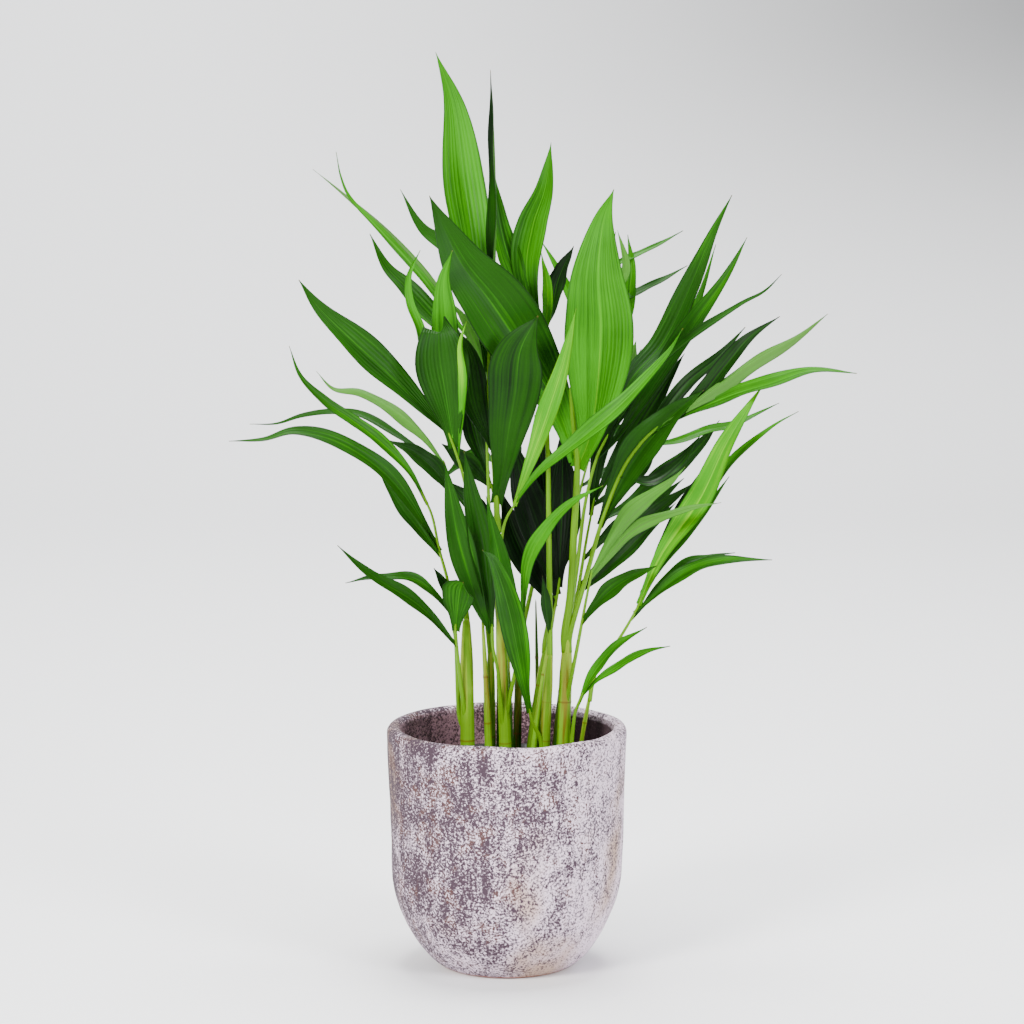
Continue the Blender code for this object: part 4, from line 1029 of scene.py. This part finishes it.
def add_blade(bm, row, tone, turned_over, s, shift):
    """One leaf blade: a grid bent along its curve, keeled, pleated and given thickness."""
    width, tilt, widest, drawn = row
    uv, named = layers_of(bm)
    knots = [placed(point) for point in drawn]
    _, length = even_points(knots, 4)
    rows = min(max(int(length / ROW_STEP), FEWEST_ROWS), MOST_ROWS)
    pleats = max(FEWEST_PLEATS, round(width / PLEAT_WIDTH))
    cols = 2 * max(4, round(pleats * (1.9 if width >= PLEATED_FROM else 1.2)))
    points, length = even_points(knots, rows)
    side = 1.0 if drawn[-1][0] < drawn[0][0] else -1.0
    flip = -1.0 if turned_over else 1.0
    full = width * PLANT_SCALE
    spots, faces = grid_sheet(bm, cols, rows)
    paint_map(faces, spots, uv, float(pleats), length, shift)
    frames = blade_frames(points, math.radians(tilt), side)
    for vert, (u, v) in spots.items():
        i = round(v * rows)
        across, normal = frames[i]
        half = max(full * blade_share(v, widest) / 2, LEAST_HALF_WIDTH)
        w = u * 2 - 1
        room = min(half / FULL_HALF_WIDTH, 1.0)
        keel = (abs(w) ** 1.25 * 2 - 1) * half * s.fold * (1.15 - 0.5 * v)
        pleat = math.sin(2 * math.pi * u * pleats) * s.pleat * room * min(v * 6, 1.0) * min((1 - v) * 5, 1.0)
        wave = math.sin(v * 17.0 + shift * 5.0 + (1.4 if w > 0 else 0.0)) * s.flutter * w * w * room
        vert.co = points[i] + across * (half * w) + normal * (keel * flip + pleat + wave)
        vert[named["tone"]] = tone[0] + (tone[1] - tone[0]) * min(v * 1.4, 1.0)
        vert[named["mid"]] = abs(w)
        vert[named["along"]] = v
    thicken(bm, spots, faces, frames, s.thickness, turned_over)


def thicken(bm, spots, faces, frames, thickness, turned_over):
    """Gives a sheet its thickness, with each of its two sides in its own leaf material."""
    others = set(bm.faces) - set(faces)
    last = len(frames) - 1
    lean = 0.0
    for face in faces:
        face.normal_update()
        out = frames[round(spots[face.verts[0]][1] * last)][1]
        lean += face.normal.dot(out)
    bmesh.ops.solidify(bm, geom=faces, thickness=thickness if lean > 0.0 else -thickness)
    facing, behind = (LEAF_UNDER, LEAF_TOP) if turned_over else (LEAF_TOP, LEAF_UNDER)
    for face in bm.faces:
        if face in others:
            continue
        ours = sum(vert in spots for vert in face.verts)
        face.smooth = True
        face.material_index = behind if ours == 0 else facing
        if 0 < ours < len(face.verts):
            for edge in face.edges:
                edge.smooth = False


def stalk_knots(start, stalk):
    """The stalk rises out of its cane's wrapping, so its foot lies inside the cane."""
    cane, how, degrees = start[:3]
    angle = math.radians(degrees)
    out = Vector((math.cos(angle), math.sin(angle), 0.0))
    if how == "top":
        head = cane_line(cane)[-1]
        centre, radius = cane_at(cane, head.z - STALK_OVERLAP)
        second = head + out * radius * 0.45 + Vector((0.0, 0.0, 0.004))
        first = centre + out * radius * 0.25
    else:
        height = placed((0.0, 0.0, start[3])).z
        centre, radius = cane_at(cane, height - STALK_OVERLAP)
        first = centre + out * radius * 0.45
        centre, radius = cane_at(cane, height + 0.004)
        second = centre + out * (radius + 0.0012)
    return [first, second] + [placed(point) for point in stalk], radius


class PALM_OT_fronds(bpy.types.Operator):
    """Fronds: each a stalk with its leaf blades"""

    bl_idname = "palm.fronds"
    bl_label = "Fronds"

    def execute(self, context):
        s = context.scene.palm_plant
        paints = [leaf_material(s, False), leaf_material(s, True), stalk_material(s)]
        for i, (name, (start, stalk, blades)) in enumerate(FRONDS.items()):
            bm = bmesh.new()
            self.add_stalk(bm, name, start, stalk, i)
            for k, row in enumerate(blades):
                over = k in TURNED_OVER.get(name, ())
                tone = TONES[name][k]
                pair = tone if isinstance(tone, tuple) else (tone, tone)
                add_blade(bm, row, pair, over, s, i * 7.3 + k * 1.37)
            finish_piece(name + "_leaf", bm, paints, name)
        return {"FINISHED"}

    @staticmethod
    def add_stalk(bm, name, start, stalk, i):
        low, high = STOUT_STALKS.get(name, (STALK_BASE_RADIUS, STALK_END_RADIUS))
        knots, cane = stalk_knots(start, stalk)
        points, length = even_points(knots, 22 + 8 * len(stalk))
        wide = cane * 0.62 if start[1] == "top" else low

        def radius(u, v):
            taper = low + (high - low) * v
            foot = max(wide - taper, 0.0) * math.exp(-v * length / 0.012)
            groove = 1.0 - 0.10 * max(math.cos(2 * math.pi * (u - 0.25)), 0.0) ** 4
            end = 1.0 if v < 0.97 else math.sqrt(max(1.0 - ((v - 0.97) / 0.0305) ** 2, 0.03))
            return (taper + foot) * groove * end

        add_tube(bm, points, radius, 12, 0.9, length, i * 3.1)


# ------------------------------------------------------------------------------ the stage
# Metres of the sweep's floor before and behind the palm, radius of its bend, rise and width.
SWEEP_FRONT, SWEEP_BACK, SWEEP_BEND, SWEEP_RISE, SWEEP_WIDTH = 4.5, 2.4, 1.6, 3.0, 9.0
LAMP_TARGET = (0.0, 0.0, 0.36)
CAMERA_TARGET = (0.004, 0.0, 0.364)


class PALM_OT_stage(bpy.types.Operator):
    """Seamless pale sweep, soft lights and the camera"""

    bl_idname = "palm.stage"
    bl_label = "Stage"

    def execute(self, context):
        s = context.scene.palm_stage
        self.sweep(s)
        heart = LAMP_TARGET
        self.lamp("key", (-1.7, -2.1, 1.5), heart, 1.0, s.key, (1.0, 0.985, 0.96))
        self.lamp("fill", (2.0, -2.0, 1.4), heart, 1.1, s.fill, (0.97, 0.98, 1.0))
        self.lamp("top", (0.1, 0.3, 2.5), heart, 1.3, s.top, (1.0, 1.0, 1.0))
        self.lamp("backdrop", (-0.3, 2.0, 2.6), (-0.2, 3.7, 0.3), 1.6, s.backdrop, (1.0, 1.0, 1.0))
        self.room(context, s)
        self.camera(context, s)
        return {"FINISHED"}

    @staticmethod
    def sweep(s):
        """The floor runs back and curves up into the backdrop."""
        bm = bmesh.new()
        spots, _faces = grid_sheet(bm, 24, 96)
        back, bend = SWEEP_BACK, SWEEP_BEND
        turn = bend * math.pi / 2
        whole = SWEEP_FRONT + back + turn + SWEEP_RISE
        for vert, (u, v) in spots.items():
            run = v * whole - SWEEP_FRONT
            x = (u - 0.5) * SWEEP_WIDTH
            if run < back:
                vert.co = (x, run, 0.0)
            elif run < back + turn:
                angle = (run - back) / bend
                vert.co = (x, back + bend * math.sin(angle), bend - bend * math.cos(angle))
            else:
                vert.co = (x, back + bend, bend + run - back - turn)
        for face in bm.faces:
            face.smooth = True
        bmesh.ops.recalc_face_normals(bm, faces=bm.faces)
        floor = mesh_object("studio_sweep", bm, [sweep_material(s)])

    @staticmethod
    def lamp(name, at, target, size, watts, tint):
        light = bpy.data.lights.new(name + "_light", "AREA")
        light.shape = "DISK"
        light.size = size
        light.energy = watts
        light.color = tint
        aimed(name + "_light", light, at, target)

    @staticmethod
    def room(context, s):
        """The even light of the room round the stage."""
        world = bpy.data.worlds.new("studio_room")
        world.use_nodes = True
        back = world.node_tree.nodes["Background"]
        back.inputs["Color"].default_value = (0.93, 0.96, 1.0, 1.0)
        back.inputs["Strength"].default_value = s.sky
        context.scene.world = world

    @staticmethod
    def camera(context, s):
        """A long lens that looks down at the palm a little."""
        data = bpy.data.cameras.new("studio_camera")
        data.lens = s.lens
        data.sensor_width = 36.0
        back = Vector((0.0, -math.cos(s.elevation), math.sin(s.elevation))) * s.distance
        at = Vector(CAMERA_TARGET) + back
        context.scene.camera = aimed("studio_camera", data, at, CAMERA_TARGET)


# ------------------------------------------------------------------------------ the panel
class PALM_PT_panel(bpy.types.Panel):
    """The palm's pieces, in the order that they are made"""

    bl_idname = "PALM_PT_panel"
    bl_label = "Potted palm"
    bl_space_type = "VIEW_3D"
    bl_region_type = "UI"
    bl_category = "Palm"

    def draw(self, context):
        for step in STEPS:
            self.layout.operator(step.bl_idname)
        for key in SETTINGS:
            group = getattr(context.scene, key)
            box = self.layout.box()
            for name in group.bl_rna.properties.keys():
                if name not in ("rna_type", "name"):
                    box.prop(group, name)


STEPS = (PALM_OT_stage, PALM_OT_pot, PALM_OT_grower_pot, PALM_OT_soil, PALM_OT_canes, PALM_OT_fronds)
SETTINGS = {
    "palm_pot": PotSettings,
    "palm_grower": GrowerSettings,
    "palm_soil": SoilSettings,
    "palm_plant": PlantSettings,
    "palm_stage": StageSettings,
}


def register():
    for group in SETTINGS.values():
        bpy.utils.register_class(group)
    for step in STEPS:
        bpy.utils.register_class(step)
    bpy.utils.register_class(PALM_PT_panel)
    for key, group in SETTINGS.items():
        setattr(bpy.types.Scene, key, PointerProperty(type=group))


def unregister():
    for key in SETTINGS:
        delattr(bpy.types.Scene, key)
    bpy.utils.unregister_class(PALM_PT_panel)
    for step in reversed(STEPS):
        bpy.utils.unregister_class(step)
    for group in SETTINGS.values():
        bpy.utils.unregister_class(group)


def main():
    register()
    bpy.ops.palm.stage()
    bpy.ops.palm.pot()
    bpy.ops.palm.grower_pot()
    bpy.ops.palm.soil()
    bpy.ops.palm.canes()
    bpy.ops.palm.fronds()


if __name__ == "__main__":
    main()
